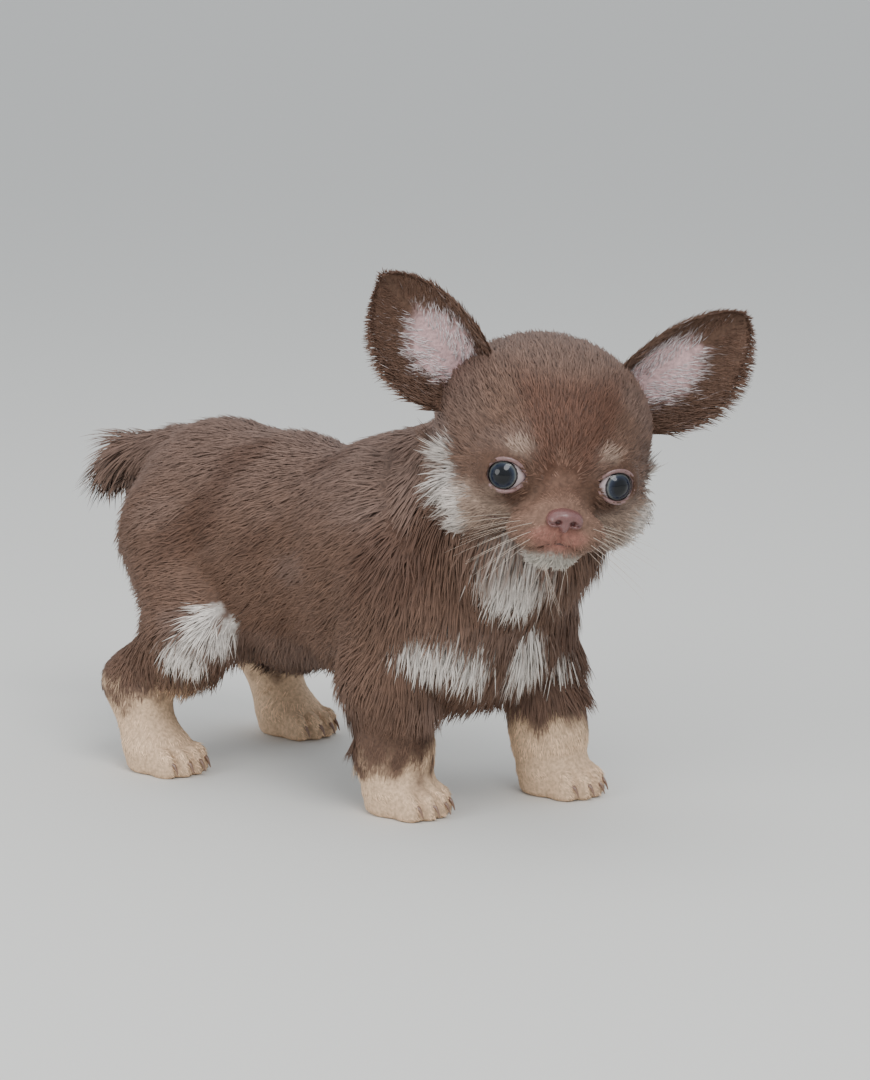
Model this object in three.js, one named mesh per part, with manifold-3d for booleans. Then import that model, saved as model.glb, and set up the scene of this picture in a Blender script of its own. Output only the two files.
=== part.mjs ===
// A long-haired chihuahua puppy, standing, life size, as a still museum model.
// Millimetres, +Z up, the puppy faces -Y and its left side is +X. The floor is z = 0.
// The body is one smooth field of balls and cones, meshed part by part, and each
// part is cut from the next with a gap of GAP. Long hair is flat, tapered locks.
import * as THREE from "three";
import { mergeVertices } from "three/addons/utils/BufferGeometryUtils.js";
import Module from "manifold-3d";

const wasm = await Module();
wasm.setup();

// Driving sizes
const GAP = 0.3;
const WITHERS = 119; // top of the coat over the shoulders
const BELLY = 34; // underside of the chest coat
const HEAD_WIDTH = 76; // over the cheek fur
const EYE_SPACING = 34;
const EYE_RADIUS = 7.6;
const EAR_LENGTH = 41;
const EAR_WIDTH = 32;
const FORE_FOOT = { right: [-24, -50], left: [30, -70] }; // paw centres on the floor
const HIND_FOOT = { right: [-37, 50], left: [32, 55] };
const HEAD_CENTRE = [-2.6, -91.2, 120.2];
const HEAD_TURN = 37; // degrees to the puppy's right
const HEAD_LEAN = 7.5; // degrees, crown towards the puppy's left
const TAIL_TIP = [0, 124, 92];

const TORSO_MIDDLE = (WITHERS + BELLY) / 2;
const TORSO_HALF_HEIGHT = (WITHERS - BELLY) / 2;
const EYE_PLACE = [EYE_SPACING / 2 - 0.7, 22.6, -5]; // eyeball centre in the head's own axes
const NOSE_PLACE = [0, 38.9, -15];
const SIDES = { right: -1, left: 1 };

// Vectors
const add = (a, b) => a.map((v, i) => v + b[i]);
const sub = (a, b) => a.map((v, i) => v - b[i]);
const scale = (a, s) => a.map((v) => v * s);
const dot = (a, b) => a[0] * b[0] + a[1] * b[1] + a[2] * b[2];
const length = (a) => Math.hypot(...a);
const unit = (a) => scale(a, 1 / (length(a) || 1));
const cross = (a, b) => [
  a[1] * b[2] - a[2] * b[1],
  a[2] * b[0] - a[0] * b[2],
  a[0] * b[1] - a[1] * b[0],
];
const clamp = (v, low, high) => Math.min(high, Math.max(low, v));
const smooth = (v, low, high) => {
  const t = clamp((v - low) / (high - low), 0, 1);
  return t * t * (3 - 2 * t);
};
const radians = (degrees) => (degrees * Math.PI) / 180;

// A seeded random number from 0 to 1
function randomSource(seed) {
  let state = seed;
  return () => {
    state = (state * 1664525 + 1013904223) % 4294967296;
    return state / 4294967296;
  };
}

// The head's own axes: x to its left, y along the muzzle, z up
const headTurn = radians(HEAD_TURN);
const headLean = radians(HEAD_LEAN);
const headForward = [-Math.sin(headTurn), -Math.cos(headTurn), 0];
const levelLeft = [Math.cos(headTurn), -Math.sin(headTurn), 0];
const headLeft = add(scale(levelLeft, Math.cos(headLean)), [0, 0, -Math.sin(headLean)]);
const headUp = cross(headForward, headLeft);
const toHead = (p) => {
  const d = sub(p, HEAD_CENTRE);
  return [dot(d, headLeft), dot(d, headForward), dot(d, headUp)];
};
const turnFromHead = (v) =>
  add(add(scale(headLeft, v[0]), scale(headForward, v[1])), scale(headUp, v[2]));
const fromHead = (q) => add(HEAD_CENTRE, turnFromHead(q));

// Fields are negative inside, in millimetres
function ball(p, centre, radii) {
  const q = p.map((v, i) => (v - centre[i]) / radii[i]);
  const k = length(q);
  const g = Math.hypot(...q.map((v, i) => v / radii[i])) || 1e-9;
  return (k * (k - 1)) / g;
}
function cone(p, a, b, ra, rb) {
  const ab = sub(b, a);
  const t = clamp(dot(sub(p, a), ab) / dot(ab, ab), 0, 1);
  return length(sub(p, add(a, scale(ab, t)))) - (ra + (rb - ra) * t);
}
function join(a, b, k) {
  const h = Math.max(k - Math.abs(a - b), 0) / k;
  return Math.min(a, b) - (h * h * k) / 4;
}
const joinAll = (values, k) => values.reduce((a, b) => join(a, b, k));
const slope = (field, p, e = 0.4) =>
  unit([0, 1, 2].map((i) => {
    const d = [0, 0, 0];
    d[i] = e;
    return field(add(p, d)) - field(sub(p, d));
  }));

// Head, in its own axes
function headField(q) {
  const m = [Math.abs(q[0]), q[1], q[2]];
  const skull = joinAll([
    ball(m, [0, -4, 6], [HEAD_WIDTH * 0.46, 35, 31]),
    ball(m, [0, 11, 11], [26, 19, 20]),
    ball(m, [HEAD_WIDTH * 0.25, 2, -13], [18, 21, 16]),
  ], 9);
  const muzzle = joinAll([
    cone(m, [0, 16, -14], [0, 30.5, -16], 12.5, 9),
    ball(m, [6.8, 31, -20], [8.8, 8.4, 6.8]),
    ball(m, [0, 26, -26], [10.5, 9.6, 6]),
  ], 3.5);
  const brow = ball(m, [14, 21.5, 5.5], [8.5, 6.5, 4.5]);
  const lid = ball(m, EYE_PLACE, [EYE_RADIUS + 2.2, EYE_RADIUS + 1.5, EYE_RADIUS + 1.8]);
  return join(join(join(skull, muzzle, 7), brow, 5), lid, 3.2);
}

// One leg as a chain of cones with round joints: points are [x, y, z, radius]
function chain(p, points, k) {
  let value = Infinity;
  for (let i = 1; i < points.length; i++) {
    const [a, b] = [points[i - 1], points[i]];
    const piece = cone(p, a.slice(0, 3), b.slice(0, 3), a[3], b[3]);
    value = i === 1 ? piece : join(value, piece, k);
  }
  return value;
}
function foreLeg(side) {
  const s = SIDES[side];
  const [x, y] = FORE_FOOT[side];
  return [
    [s * 20, y * 0.5 - 26, 74, 22],
    [x * 0.5 + s * 14, y * 0.75 - 10, 46, 17],
    [x, y + 3, 20, 12.3],
    [x, y + 2, 10, 11.8],
  ];
}
function hindLeg(side) {
  const s = SIDES[side];
  const [x, y] = HIND_FOOT[side];
  return [
    [s * 15, 58, 78, 24],
    [x * 0.6 + s * 8, y - 12, 50, 17],
    [x, y + 12, 30, 11],
    [x, y + 5, 11, 10.8],
  ];
}
const pawBall = (p, [x, y]) =>
  joinAll([
    ball(p, [x, y, 6], [12.5, 13, 10]),
    ball(p, [x - 5, y - 8, 5], [5.6, 7, 7.6]),
    ball(p, [x + 5, y - 8, 5], [5.6, 7, 7.6]),
  ], 2.2);
const legField = (p, leg, foot) => join(chain(p, leg, 7), pawBall(p, foot), 5);
const LEGS = [];
for (const side of ["right", "left"]) {
  LEGS.push({ name: "foreleg_" + side, side, points: foreLeg(side), foot: FORE_FOOT[side] });
  LEGS.push({ name: "hindleg_" + side, side, points: hindLeg(side), foot: HIND_FOOT[side] });
}

const NECK_BASE = [0, -40, 90];
const NECK_TOP = add(HEAD_CENTRE, scale(headForward, -14));
const TAIL_ROOT = [0, 76, 103];
const TAIL_BEND = [0, 102, 101];
const tailField = (p) =>
  join(cone(p, TAIL_ROOT, TAIL_BEND, 11, 8), cone(p, TAIL_BEND, TAIL_TIP, 8, 3.5), 5);
const neckField = (p) =>
  joinAll([
    cone(p, NECK_BASE, NECK_TOP, 31, 25),
    ball(p, [2, -79, 97], [34, 28, 30]),
    ball(p, [2, -60, 73], [39, 31, 39]),
  ], 12);
const torsoField = (p) =>
  joinAll([
    ball(p, [0, -28, TORSO_MIDDLE], [37, 46, TORSO_HALF_HEIGHT]),
    ball(p, [0, 22, TORSO_MIDDLE - 1], [35, 52, TORSO_HALF_HEIGHT - 1]),
    ball(p, [0, 54, TORSO_MIDDLE + 5], [32, 34, TORSO_HALF_HEIGHT - 5.5]),
  ], 10);

function bodyField(p) {
  let value = join(torsoField(p), neckField(p), 14);
  value = join(value, tailField(p), 9);
  for (const leg of LEGS) value = join(value, legField(p, leg.points, leg.foot), 8);
  return Math.max(value, -p[2]);
}

// Where the coat is long, the core lies under the coat's surface and locks reach past it
function coatAt(p) {
  const q = toHead(p);
  const nearHead = smooth(length(q), 62, 50);
  const cheek = nearHead * smooth(Math.abs(q[0]), 22, 29) * smooth(q[2], 2, -8) * smooth(q[1], 22, 8);
  const ruff = nearHead * smooth(q[1], 14, -4) * smooth(q[2], 4, -12);
  const bib = smooth(p[1], -50, -66) * smooth(p[2], 30, 44) * smooth(p[2], 112, 96);
  const breech = smooth(p[1], 66, 80) * smooth(p[2], 20, 30) * smooth(p[2], 104, 92);
  const tail = smooth(p[1], 88, 97);
  const belly = smooth(p[2], 50, 40) * smooth(p[2], 20, 28) * smooth(Math.abs(p[1]), 44, 34);
  const elbow = smooth(p[1], -44, -30) * smooth(p[1], -10, -22) * smooth(p[2], 58, 48) * smooth(p[2], 12, 20);
  return { ruff, cheek, bib, breech, tail, belly, elbow };
}
const COAT = {
  // depth of hair over the skin side of the core, lock length, width, spacing
  ruff: { depth: 8, length: 18, width: 7.5, space: 10 },
  cheek: { depth: 8, length: 15, width: 6, space: 6.5 },
  bib: { depth: 9, length: 21, width: 9, space: 11.2 },
  breech: { depth: 7, length: 17, width: 8.5, space: 10.5 },
  tail: { depth: 6, length: 21, width: 6.5, space: 8.5 },
  belly: { depth: 6, length: 15, width: 8.5, space: 12.2 },
  elbow: { depth: 5, length: 12, width: 7, space: 10 },
};
const HEAD_COAT = ["ruff", "cheek"];
const BODY_COAT = ["ruff", "bib", "breech", "tail", "belly", "elbow"];
function coatDepth(p, kinds) {
  const share = coatAt(p);
  return Math.max(...kinds.map((kind) => COAT[kind].depth * share[kind]));
}
const coreField = (p) => bodyField(p) + coatDepth(p, BODY_COAT) / 2;
const skullField = (p) => headField(toHead(p)) + coatDepth(p, HEAD_COAT) / 2;
const wholeField = (p) => Math.min(skullField(p), coreField(p));

// The way the coat lies at a point of the surface
function coatLie(p, normal, kind) {
  const q = toHead(p);
  let lie = [0, 0.8, -0.6];
  if (kind === "cheek" || kind === "ruff")
    lie = turnFromHead([Math.sign(q[0]) * 0.45, -0.55, -0.75]);
  if (kind === "bib") lie = [Math.sign(p[0]) * 0.12, 0.1, -1];
  if (kind === "breech") lie = [0, 0.25, -1];
  if (kind === "tail") lie = add(unit(sub(TAIL_TIP, TAIL_BEND)), [0, 0, -0.35]);
  if (kind === "belly") lie = [0, 0.9, -0.5];
  if (kind === "elbow") lie = [0, 0.5, -1];
  return unit(sub(lie, scale(normal, dot(lie, normal))));
}

// Meshes and solids
function solidFrom(positions, faces) {
  const made = new wasm.Manifold(new wasm.Mesh({
    numProp: 3,
    vertProperties: new Float32Array(positions.flat()),
    triVerts: new Uint32Array(faces.flat()),
  }));
  return made;
}
function solidOf(geometry) {
  const plain = geometry.clone();
  plain.deleteAttribute("normal");
  plain.deleteAttribute("uv");
  const merged = mergeVertices(plain, 1e-4);
  return new wasm.Manifold(new wasm.Mesh({
    numProp: 3,
    vertProperties: new Float32Array(merged.getAttribute("position").array),
    triVerts: new Uint32Array(merged.index.array),
  }));
}
function geometryOf(solid) {
  const mesh = solid.getMesh();
  const geometry = new THREE.BufferGeometry();
  geometry.setAttribute("position", new THREE.BufferAttribute(mesh.vertProperties, 3));
  geometry.setIndex(new THREE.BufferAttribute(mesh.triVerts, 1));
  geometry.computeVertexNormals();
  return geometry;
}
// The largest closed surface of a solid, without edges shorter than SHORTEST_EDGE
const SHORTEST_EDGE = 0.04;
const largest = (solid) =>
  unpinched(solid.asOriginal().simplify(SHORTEST_EDGE).decompose()
    .reduce((a, b) => (b.volume() > a.volume() ? b : a)));
// Where two stretches of a surface touch in a point or an edge, each draws back from it
function unpinched(solid) {
  const mesh = solid.getMesh();
  const points = [];
  const seen = new Map();
  for (let i = 0; i < mesh.numVert; i++) {
    points.push([...mesh.vertProperties.slice(i * mesh.numProp, i * mesh.numProp + 3)]);
    const place = points[i].map((v) => v.toFixed(3)).join();
    seen.set(place, [...(seen.get(place) || []), i]);
  }
  const touching = [...seen.values()].filter((same) => same.length > 1).flat();
  if (touching.length === 0) return solid;
  const faces = [];
  for (let t = 0; t < mesh.numTri; t++) faces.push([...mesh.triVerts.slice(3 * t, 3 * t + 3)]);
  const moved = points.map((p) => p);
  for (const i of touching) {
    const round = faces.filter((f) => f.includes(i)).flat().filter((j) => j !== i);
    const middle = scale(round.reduce((sum, j) => add(sum, points[j]), [0, 0, 0]), 1 / round.length);
    moved[i] = add(points[i], scale(sub(middle, points[i]), 0.2));
  }
  return solidFrom(moved, faces);
}

// A closed surface where the field is zero inside a box, on a grid of cubes of size cell.
// A warp moves the grid's points, so that the cubes can be smaller where detail is fine.
function meshField(field, low, high, cell, warp = (p) => p) {
  const n = low.map((v, i) => Math.ceil((high[i] - v) / cell) + 1);
  const middle = scale(add(low, high), 0.5);
  const half = scale(sub(high, low), 0.5).map((v) => v - cell);
  const boxed = (p) =>
    Math.max(field(warp(p)), ...p.map((v, i) => Math.abs(v - middle[i]) - half[i]));
  const at = (i, j, k) => (k * n[1] + j) * n[0] + i;
  const place = (i, j, k) => [low[0] + i * cell, low[1] + j * cell, low[2] + k * cell];
  const values = new Float32Array(n[0] * n[1] * n[2]);
  for (let k = 0; k < n[2]; k++)
    for (let j = 0; j < n[1]; j++)
      for (let i = 0; i < n[0]; i++) values[at(i, j, k)] = boxed(place(i, j, k)) || 1e-6;
  const corners = [];
  for (let c = 0; c < 8; c++) corners.push([c & 1, (c >> 1) & 1, c >> 2]);
  const positions = [];
  const vertexAt = new Map();
  for (let k = 0; k < n[2] - 1; k++)
    for (let j = 0; j < n[1] - 1; j++)
      for (let i = 0; i < n[0] - 1; i++) {
        const v = corners.map(([a, b, c]) => values[at(i + a, j + b, k + c)]);
        const inside = v.filter((x) => x < 0).length;
        if (inside === 0 || inside === 8) continue;
        let sum = [0, 0, 0];
        let count = 0;
        for (let a = 0; a < 8; a++)
          for (const bit of [1, 2, 4]) {
            const b = a | bit;
            if (b === a || v[a] < 0 === v[b] < 0) continue;
            const t = v[a] / (v[a] - v[b]);
            sum = add(sum, add(corners[a], scale(sub(corners[b], corners[a]), t)));
            count++;
          }
        const grid = add(place(i, j, k), scale(sum, cell / count));
        const walled = grid.some((v, a) => Math.abs(v - middle[a]) > half[a] - cell / 4);
        let p = warp(grid);
        for (let step = 0; step < 2 && !walled; step++)
          p = sub(p, scale(slope(field, p), clamp(field(p), -cell / 4, cell / 4)));
        vertexAt.set(at(i, j, k), positions.push(p) - 1);
      }
  const faces = [];
  const axes = [[1, 0, 0], [0, 1, 0], [0, 0, 1]];
  for (let k = 1; k < n[2] - 1; k++)
    for (let j = 1; j < n[1] - 1; j++)
      for (let i = 1; i < n[0] - 1; i++)
        for (let d = 0; d < 3; d++) {
          const [di, dj, dk] = axes[d];
          const a = values[at(i, j, k)];
          const b = values[at(i + di, j + dj, k + dk)];
          if (a < 0 === b < 0) continue;
          const u = axes[(d + 1) % 3];
          const w = axes[(d + 2) % 3];
          const cellAt = (s, t) =>
            vertexAt.get(at(i - s * u[0] - t * w[0], j - s * u[1] - t * w[1], k - s * u[2] - t * w[2]));
          const quad = [cellAt(0, 0), cellAt(1, 0), cellAt(1, 1), cellAt(0, 1)];
          if (a >= 0) quad.reverse();
          faces.push([quad[0], quad[1], quad[2]], [quad[0], quad[2], quad[3]]);
        }
  const made = solidFrom(positions, faces);
  return made.volume() < 0 ? solidFrom(positions, faces.map((f) => [...f].reverse())) : made;
}

// A strip with a diamond section along points; sizes are [half width, half thickness], and the last is a tip
function strip(points, sizes, side, facing) {
  const positions = [];
  const faces = [];
  const tip = points.length - 1;
  for (let i = 0; i < tip; i++) {
    const [w, t] = sizes[i];
    const s = side(i);
    const f = facing(i);
    positions.push(
      add(points[i], scale(s, w)), add(points[i], scale(f, t)),
      sub(points[i], scale(s, w)), sub(points[i], scale(f, t)),
    );
  }
  positions.push(points[tip]);
  faces.push([0, 2, 1], [0, 3, 2]);
  for (let i = 0; i < tip; i++)
    for (let c = 0; c < 4; c++) {
      const [a, b] = [i * 4 + c, i * 4 + ((c + 1) % 4)];
      if (i === tip - 1) faces.push([a, b, positions.length - 1]);
      else faces.push([a, b, b + 4], [a, b + 4, a + 4]);
    }
  const made = solidFrom(positions, faces);
  return made.volume() < 0 ? solidFrom(positions, faces.map((f) => [...f].reverse())) : made;
}

// A big box whose near face lies on a plane and which reaches along its normal
function halfSpace(point, normal, back = 0) {
  const size = 400;
  const box = new THREE.BoxGeometry(size, size, size);
  const turn = new THREE.Quaternion().setFromUnitVectors(
    new THREE.Vector3(0, 0, 1), new THREE.Vector3(...unit(normal)));
  const middle = add(point, scale(unit(normal), size / 2 + back));
  box.applyQuaternion(turn);
  box.translate(...middle);
  return solidOf(box);
}

// Locks: flat, tapered, rooted in the core, hugging it and rising towards their tips
const LOCK_STEPS = [0, 0.3, 0.65, 1]; // shares of the length
const LOCK_WIDTHS = [0.62, 1, 0.72]; // shares of the width at each step but the tip
const LOCK_THICK = 1.5;
function lockSolid(root, lift, spare = 0) {
  const { kind } = root;
  const size = COAT[kind];
  const long = size.length * (0.85 + 0.3 * root.vary);
  const rises = [-2.4, size.depth * 0.22, size.depth * 0.42, size.depth * 0.55];
  const points = [];
  const normals = [];
  const lies = [];
  let p = root.p;
  for (let i = 0; i < LOCK_STEPS.length; i++) {
    const normal = slope(wholeField, p);
    const lie = coatLie(p, normal, kind);
    if (i > 0) {
      p = add(p, scale(lie, long * (LOCK_STEPS[i] - LOCK_STEPS[i - 1])));
      p = sub(p, scale(slope(wholeField, p), wholeField(p) - rises[i] - lift * LOCK_STEPS[i]));
    } else p = sub(p, scale(normal, wholeField(p) - rises[0]));
    points.push(p);
    normals.push(normal);
    lies.push(lie);
  }
  const sizes = LOCK_WIDTHS.map((w) => [(size.width / 2) * w + spare, LOCK_THICK / 2 + spare]);
  return strip(points, sizes, (i) => cross(normals[i], lies[i]), (i) => normals[i]);
}
function coveredWithLocks(core, kinds, others, seed) {
  const random = randomSource(seed);
  const mesh = core.getMesh();
  const roots = [];
  for (let i = 0; i < mesh.numVert; i++) {
    const p = [...mesh.vertProperties.slice(i * mesh.numProp, i * mesh.numProp + 3)];
    const share = coatAt(p);
    const kind = kinds.reduce((a, b) => (share[b] > share[a] ? b : a));
    if (share[kind] > 0.4 && Math.abs(wholeField(p)) < 1)
      roots.push({ p, kind, order: random(), vary: random() });
  }
  roots.sort((a, b) => a.order - b.order);
  const kept = [];
  const pieces = [core];
  for (const root of roots) {
    if (kept.some((k) => length(sub(k.p, root.p)) < COAT[root.kind].space)) continue;
    for (const lift of [0, 1.2, 2.6]) {
      const fat = lockSolid(root, lift, GAP + 0.08);
      if (others.some((other) => !fat.intersect(other).isEmpty())) continue;
      pieces.push(lockSolid(root, lift));
      kept.push(root);
      break;
    }
  }
  return largest(wasm.Manifold.union(pieces));
}

// Head with sockets, lids and the line of the mouth
const headAxes = [headLeft, headForward, headUp];
const HEAD_CELL = 4.1;
const FINE = 0.55; // share of HEAD_CELL at the middle of the face
const COARSER = 0.015; // growth of that share for each millimetre from there
const HEAD_LOW = [-39.6, -60, -36];
const HEAD_HIGH = [39.6, 22, 46];
const FACE = [0, 30, -12];
// The head is meshed in its own axes, with the finest cubes round the middle of the face
function meshHead(spare) {
  const warp = (u) => add(FACE, scale(u, FINE + COARSER * length(u)));
  const field = (q) => skullField(fromHead(q)) - spare;
  return headSpace(meshField(field, HEAD_LOW, HEAD_HIGH, HEAD_CELL, warp));
}
const headBlank = meshHead(0);
const headClear = meshHead(GAP + 0.1);

const mirrored = (q, s) => [q[0] * s, q[1], q[2]];
function eyeSolid(side, radius, across, down) {
  const sphere = new THREE.SphereGeometry(radius, across, down);
  sphere.translate(...fromHead(mirrored(EYE_PLACE, SIDES[side])));
  return solidOf(sphere);
}
// The opening between the lids: an almond, level, seen along the eye's own axis
const EYE_OPENING = { width: 12.4, height: 10 };
const EYE_OUTWARD = 17; // degrees that an eye's axis turns out from the muzzle's
function eyeAxes(side) {
  const turn = radians(EYE_OUTWARD) * SIDES[side];
  const forward = turnFromHead([Math.sin(turn), Math.cos(turn), 0]);
  const across = turnFromHead([Math.cos(turn), -Math.sin(turn), 0]);
  return { forward, across, up: headUp };
}
function lidOpening(side) {
  const { forward, across, up } = eyeAxes(side);
  const centre = fromHead(mirrored(EYE_PLACE, SIDES[side]));
  const outline = [];
  const steps = 20;
  for (let i = 0; i < steps; i++) {
    const t = (2 * Math.PI * i) / steps;
    const x = (EYE_OPENING.width / 2) * Math.cos(t);
    const z = (EYE_OPENING.height / 2) * Math.sin(t) * (1 - 0.12 * Math.cos(t) ** 4);
    outline.push([x, z]);
  }
  const positions = [];
  const faces = [];
  for (const [depth, spread] of [[2, 0.96], [14, 1.25]])
    for (const [x, z] of outline)
      positions.push(add(centre,
        add(scale(forward, depth), add(scale(across, x * spread), scale(up, z * spread)))));
  for (let i = 0; i < steps; i++) {
    const j = (i + 1) % steps;
    faces.push([i, j, steps + j], [i, steps + j, steps + i]);
    if (i > 0 && i < steps - 1)
      faces.push([0, i + 1, i], [steps, steps + i, steps + i + 1]);
  }
  const made = solidFrom(positions, faces);
  return made.volume() < 0 ? solidFrom(positions, faces.map((f) => [...f].reverse())) : made;
}
const MUZZLE_INSIDE = [0, 16, -17];
// The point of the surface that a point near the muzzle lies outside or inside of
function onMuzzle(q) {
  const out = unit(sub(q, MUZZLE_INSIDE));
  let [near, far] = [4, 40];
  while (far - near > 0.01) {
    const mid = (near + far) / 2;
    if (skullField(fromHead(add(MUZZLE_INSIDE, scale(out, mid)))) > 0) far = mid;
    else near = mid;
  }
  return fromHead(add(MUZZLE_INSIDE, scale(out, near)));
}
function groove(path, width, depth) {
  const points = path.map(onMuzzle);
  const side = (i) => {
    const [a, b] = [points[Math.max(0, i - 1)], points[Math.min(points.length - 1, i + 1)]];
    return unit(cross(slope(skullField, points[i]), sub(b, a)));
  };
  return strip(points, path.map(() => [width / 2, depth]), side, (i) => slope(skullField, points[i]));
}
const PHILTRUM = [[0, 42, -17.5], [0, 41, -20], [0, 40, -22.4], [0, 38, -24.2]];
const MOUTH_LINE = [
  [0, 38, -23.4], [3.5, 38, -25], [8, 36, -25.6], [12.5, 31, -24.8], [16, 25, -22.6], [18, 19, -20],
];
const mouthCuts = [
  groove(PHILTRUM, 1, 0.9),
  groove(MOUTH_LINE, 1.3, 1.3),
  groove(MOUTH_LINE.map((q) => mirrored(q, -1)), 1.3, 1.3),
];

// Nose leather with comma-shaped nostrils
const noseField = (q) => {
  const m = sub([Math.abs(q[0]), q[1], q[2]], NOSE_PLACE);
  return joinAll([
    ball(m, [0, 0, 0.6], [5.2, 4, 3.4]),
    ball(m, [3.4, 0.2, -0.7], [2.9, 3.4, 3]),
    ball(m, [0, 0.2, -2.6], [1.8, 3.2, 2.4]),
  ], 1.6);
};
function nostril(side) {
  const s = SIDES[side];
  const made = new THREE.SphereGeometry(1, 10, 8);
  made.scale(1.25, 2.4, 1.05);
  made.rotateY(radians(-25 * s));
  made.translate(NOSE_PLACE[0] + 2.7 * s, NOSE_PLACE[1] + 3.6, NOSE_PLACE[2] - 1.1);
  const slit = new THREE.SphereGeometry(1, 8, 6);
  slit.scale(1.6, 1.8, 0.45);
  slit.rotateY(radians(18 * s));
  slit.translate(NOSE_PLACE[0] + 4.4 * s, NOSE_PLACE[1] + 2.8, NOSE_PLACE[2] - 1.5);
  return solidOf(made).add(solidOf(slit));
}
function headSpace(solid) {
  const m = new THREE.Matrix4().makeBasis(
    ...headAxes.map((v) => new THREE.Vector3(...v))).setPosition(...HEAD_CENTRE);
  return solid.transform(m.elements);
}

// Ears: a cupped shell whose outline is given by two edges from the base to the tip
const EAR_BASE = [29.5, 2, 21];
const EAR_TIP = [58.5, 8, 49];
const EAR_CUP = 9;
const EAR_THICK = 1.9;
const EAR_CURL_BACK = 2.2;
const EAR_FRONT = [0.22, 0.97, 0.05]; // the way a left ear opens, in the head's axes
const EAR_CROWN_SHARE = 0.43; // of the width, on the crown's side of the ear's middle
const EAR_ROWS = 9;
const EAR_COLUMNS = 6;
function earEdges(t) {
  // half widths towards the crown and away from it, at a share t of the length
  const close = Math.sqrt(Math.max(0, 1 - Math.max(0, t) ** 2.6));
  const swell = Math.sin(Math.PI * clamp(t * 0.85 + 0.12, 0, 1)) ** 0.6;
  return [
    EAR_WIDTH * EAR_CROWN_SHARE * close * (0.72 + 0.28 * swell),
    EAR_WIDTH * (1 - EAR_CROWN_SHARE) * close * (0.6 + 0.4 * swell),
  ];
}
function earAxes(side) {
  const s = SIDES[side];
  const base = mirrored(EAR_BASE, s);
  const tip = mirrored(EAR_TIP, s);
  const along = unit(sub(tip, base));
  const front = mirrored(EAR_FRONT, s);
  const face = unit(sub(front, scale(along, dot(front, along))));
  const crown = scale(cross(along, face), s); // towards the crown
  return { base, along, face, crown };
}
function earPoint(side, t, v, layer) {
  // v from -1 (outer edge) to 1 (crown edge), layer 0 inside and 1 outside
  const { base, along, face, crown } = earAxes(side);
  const [crownHalf, outerHalf] = earEdges(t);
  const across = v > 0 ? v * crownHalf : v * outerHalf;
  const cup = EAR_CUP * (1 - v * v) * (1 - 0.75 * clamp(t, 0, 1));
  const thick = EAR_THICK * (1 - 0.55 * v ** 4) * (1 - 0.45 * clamp(t, 0, 1) ** 3);
  const back = cup + layer * thick + EAR_CURL_BACK * clamp(t, 0, 1) ** 2;
  return add(add(base, scale(along, t * EAR_LENGTH)), add(scale(crown, across), scale(face, -back)));
}
function earBlank(side) {
  const positions = [];
  const faces = [];
  const rowShare = (r) => -0.3 + 1.295 * (r / EAR_ROWS) ** 0.9;
  for (const layer of [0, 1])
    for (let r = 0; r <= EAR_ROWS; r++)
      for (let c = 0; c <= EAR_COLUMNS; c++)
        positions.push(earPoint(side, rowShare(r), (2 * c) / EAR_COLUMNS - 1, layer));
  const row = EAR_COLUMNS + 1;
  const sheet = row * (EAR_ROWS + 1);
  for (let r = 0; r < EAR_ROWS; r++)
    for (let c = 0; c < EAR_COLUMNS; c++) {
      const [a, b] = [r * row + c, (r + 1) * row + c];
      faces.push([a, a + 1, b + 1], [a, b + 1, b]);
      faces.push([sheet + a, sheet + b + 1, sheet + a + 1], [sheet + a, sheet + b, sheet + b + 1]);
    }
  const rim = [];
  for (let c = 0; c < EAR_COLUMNS; c++) rim.push(c);
  for (let r = 0; r < EAR_ROWS; r++) rim.push(r * row + EAR_COLUMNS);
  for (let c = EAR_COLUMNS; c > 0; c--) rim.push(EAR_ROWS * row + c);
  for (let r = EAR_ROWS; r > 0; r--) rim.push(r * row);
  rim.forEach((a, i) => {
    const b = rim[(i + 1) % rim.length];
    faces.push([a, sheet + b, b], [a, sheet + a, sheet + b]);
  });
  const made = solidFrom(positions, faces);
  return made.volume() < 0 ? solidFrom(positions, faces.map((f) => [...f].reverse())) : made;
}

// Regions that a leg, a paw, the neck and the tail are cut out by
function legRegion(leg, spare) {
  const s = SIDES[leg.side];
  const [x, y] = leg.foot;
  const fore = leg.name.startsWith("fore");
  const centre = fore ? [x * 0.2 + s * 28, y * 0.9 - 3, 32] : [x * 0.5 + s * 17, y + 6, 38];
  const radii = fore ? [26, 31, 58] : [24, 41, 64];
  const made = new THREE.SphereGeometry(1, 16, 10);
  made.rotateX(Math.PI / 2);
  made.scale(...radii.map((r) => r + spare));
  made.translate(...centre);
  return solidOf(made);
}
const neckPlane = { point: [0, -50, 97], normal: unit([0.08, -0.68, 0.73]) };
const tailPlane = { point: [0, 91, 102], normal: [0, 1, 0] };
const WRIST = 20;

const past = (plane, gap = 0) => halfSpace(plane.point, plane.normal, gap);
const before = (plane, gap = 0) => halfSpace(plane.point, scale(plane.normal, -1), gap);

const cores = new Map();
const skull = largest(
  [...mouthCuts, ...Object.keys(SIDES).flatMap((side) => [
    eyeSolid(side, EYE_RADIUS + GAP, 20, 12), lidOpening(side),
  ])].reduce((solid, cut) => solid.subtract(cut), headBlank));
cores.set("head", skull);
for (const side of Object.keys(SIDES)) cores.set("eye_" + side, eyeSolid(side, EYE_RADIUS, 18, 10));
const noseBlank = meshField(noseField, add(NOSE_PLACE, [-10, -8, -8]), add(NOSE_PLACE, [10, 8, 8]), 1.9);
const noseSolid = ["right", "left"].reduce((solid, side) => solid.subtract(nostril(side)), noseBlank);
cores.set("nose", largest(headSpace(noseSolid).subtract(headClear)));
for (const side of Object.keys(SIDES))
  cores.set("ear_" + side, largest(headSpace(earBlank(side)).subtract(headClear)));

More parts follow.
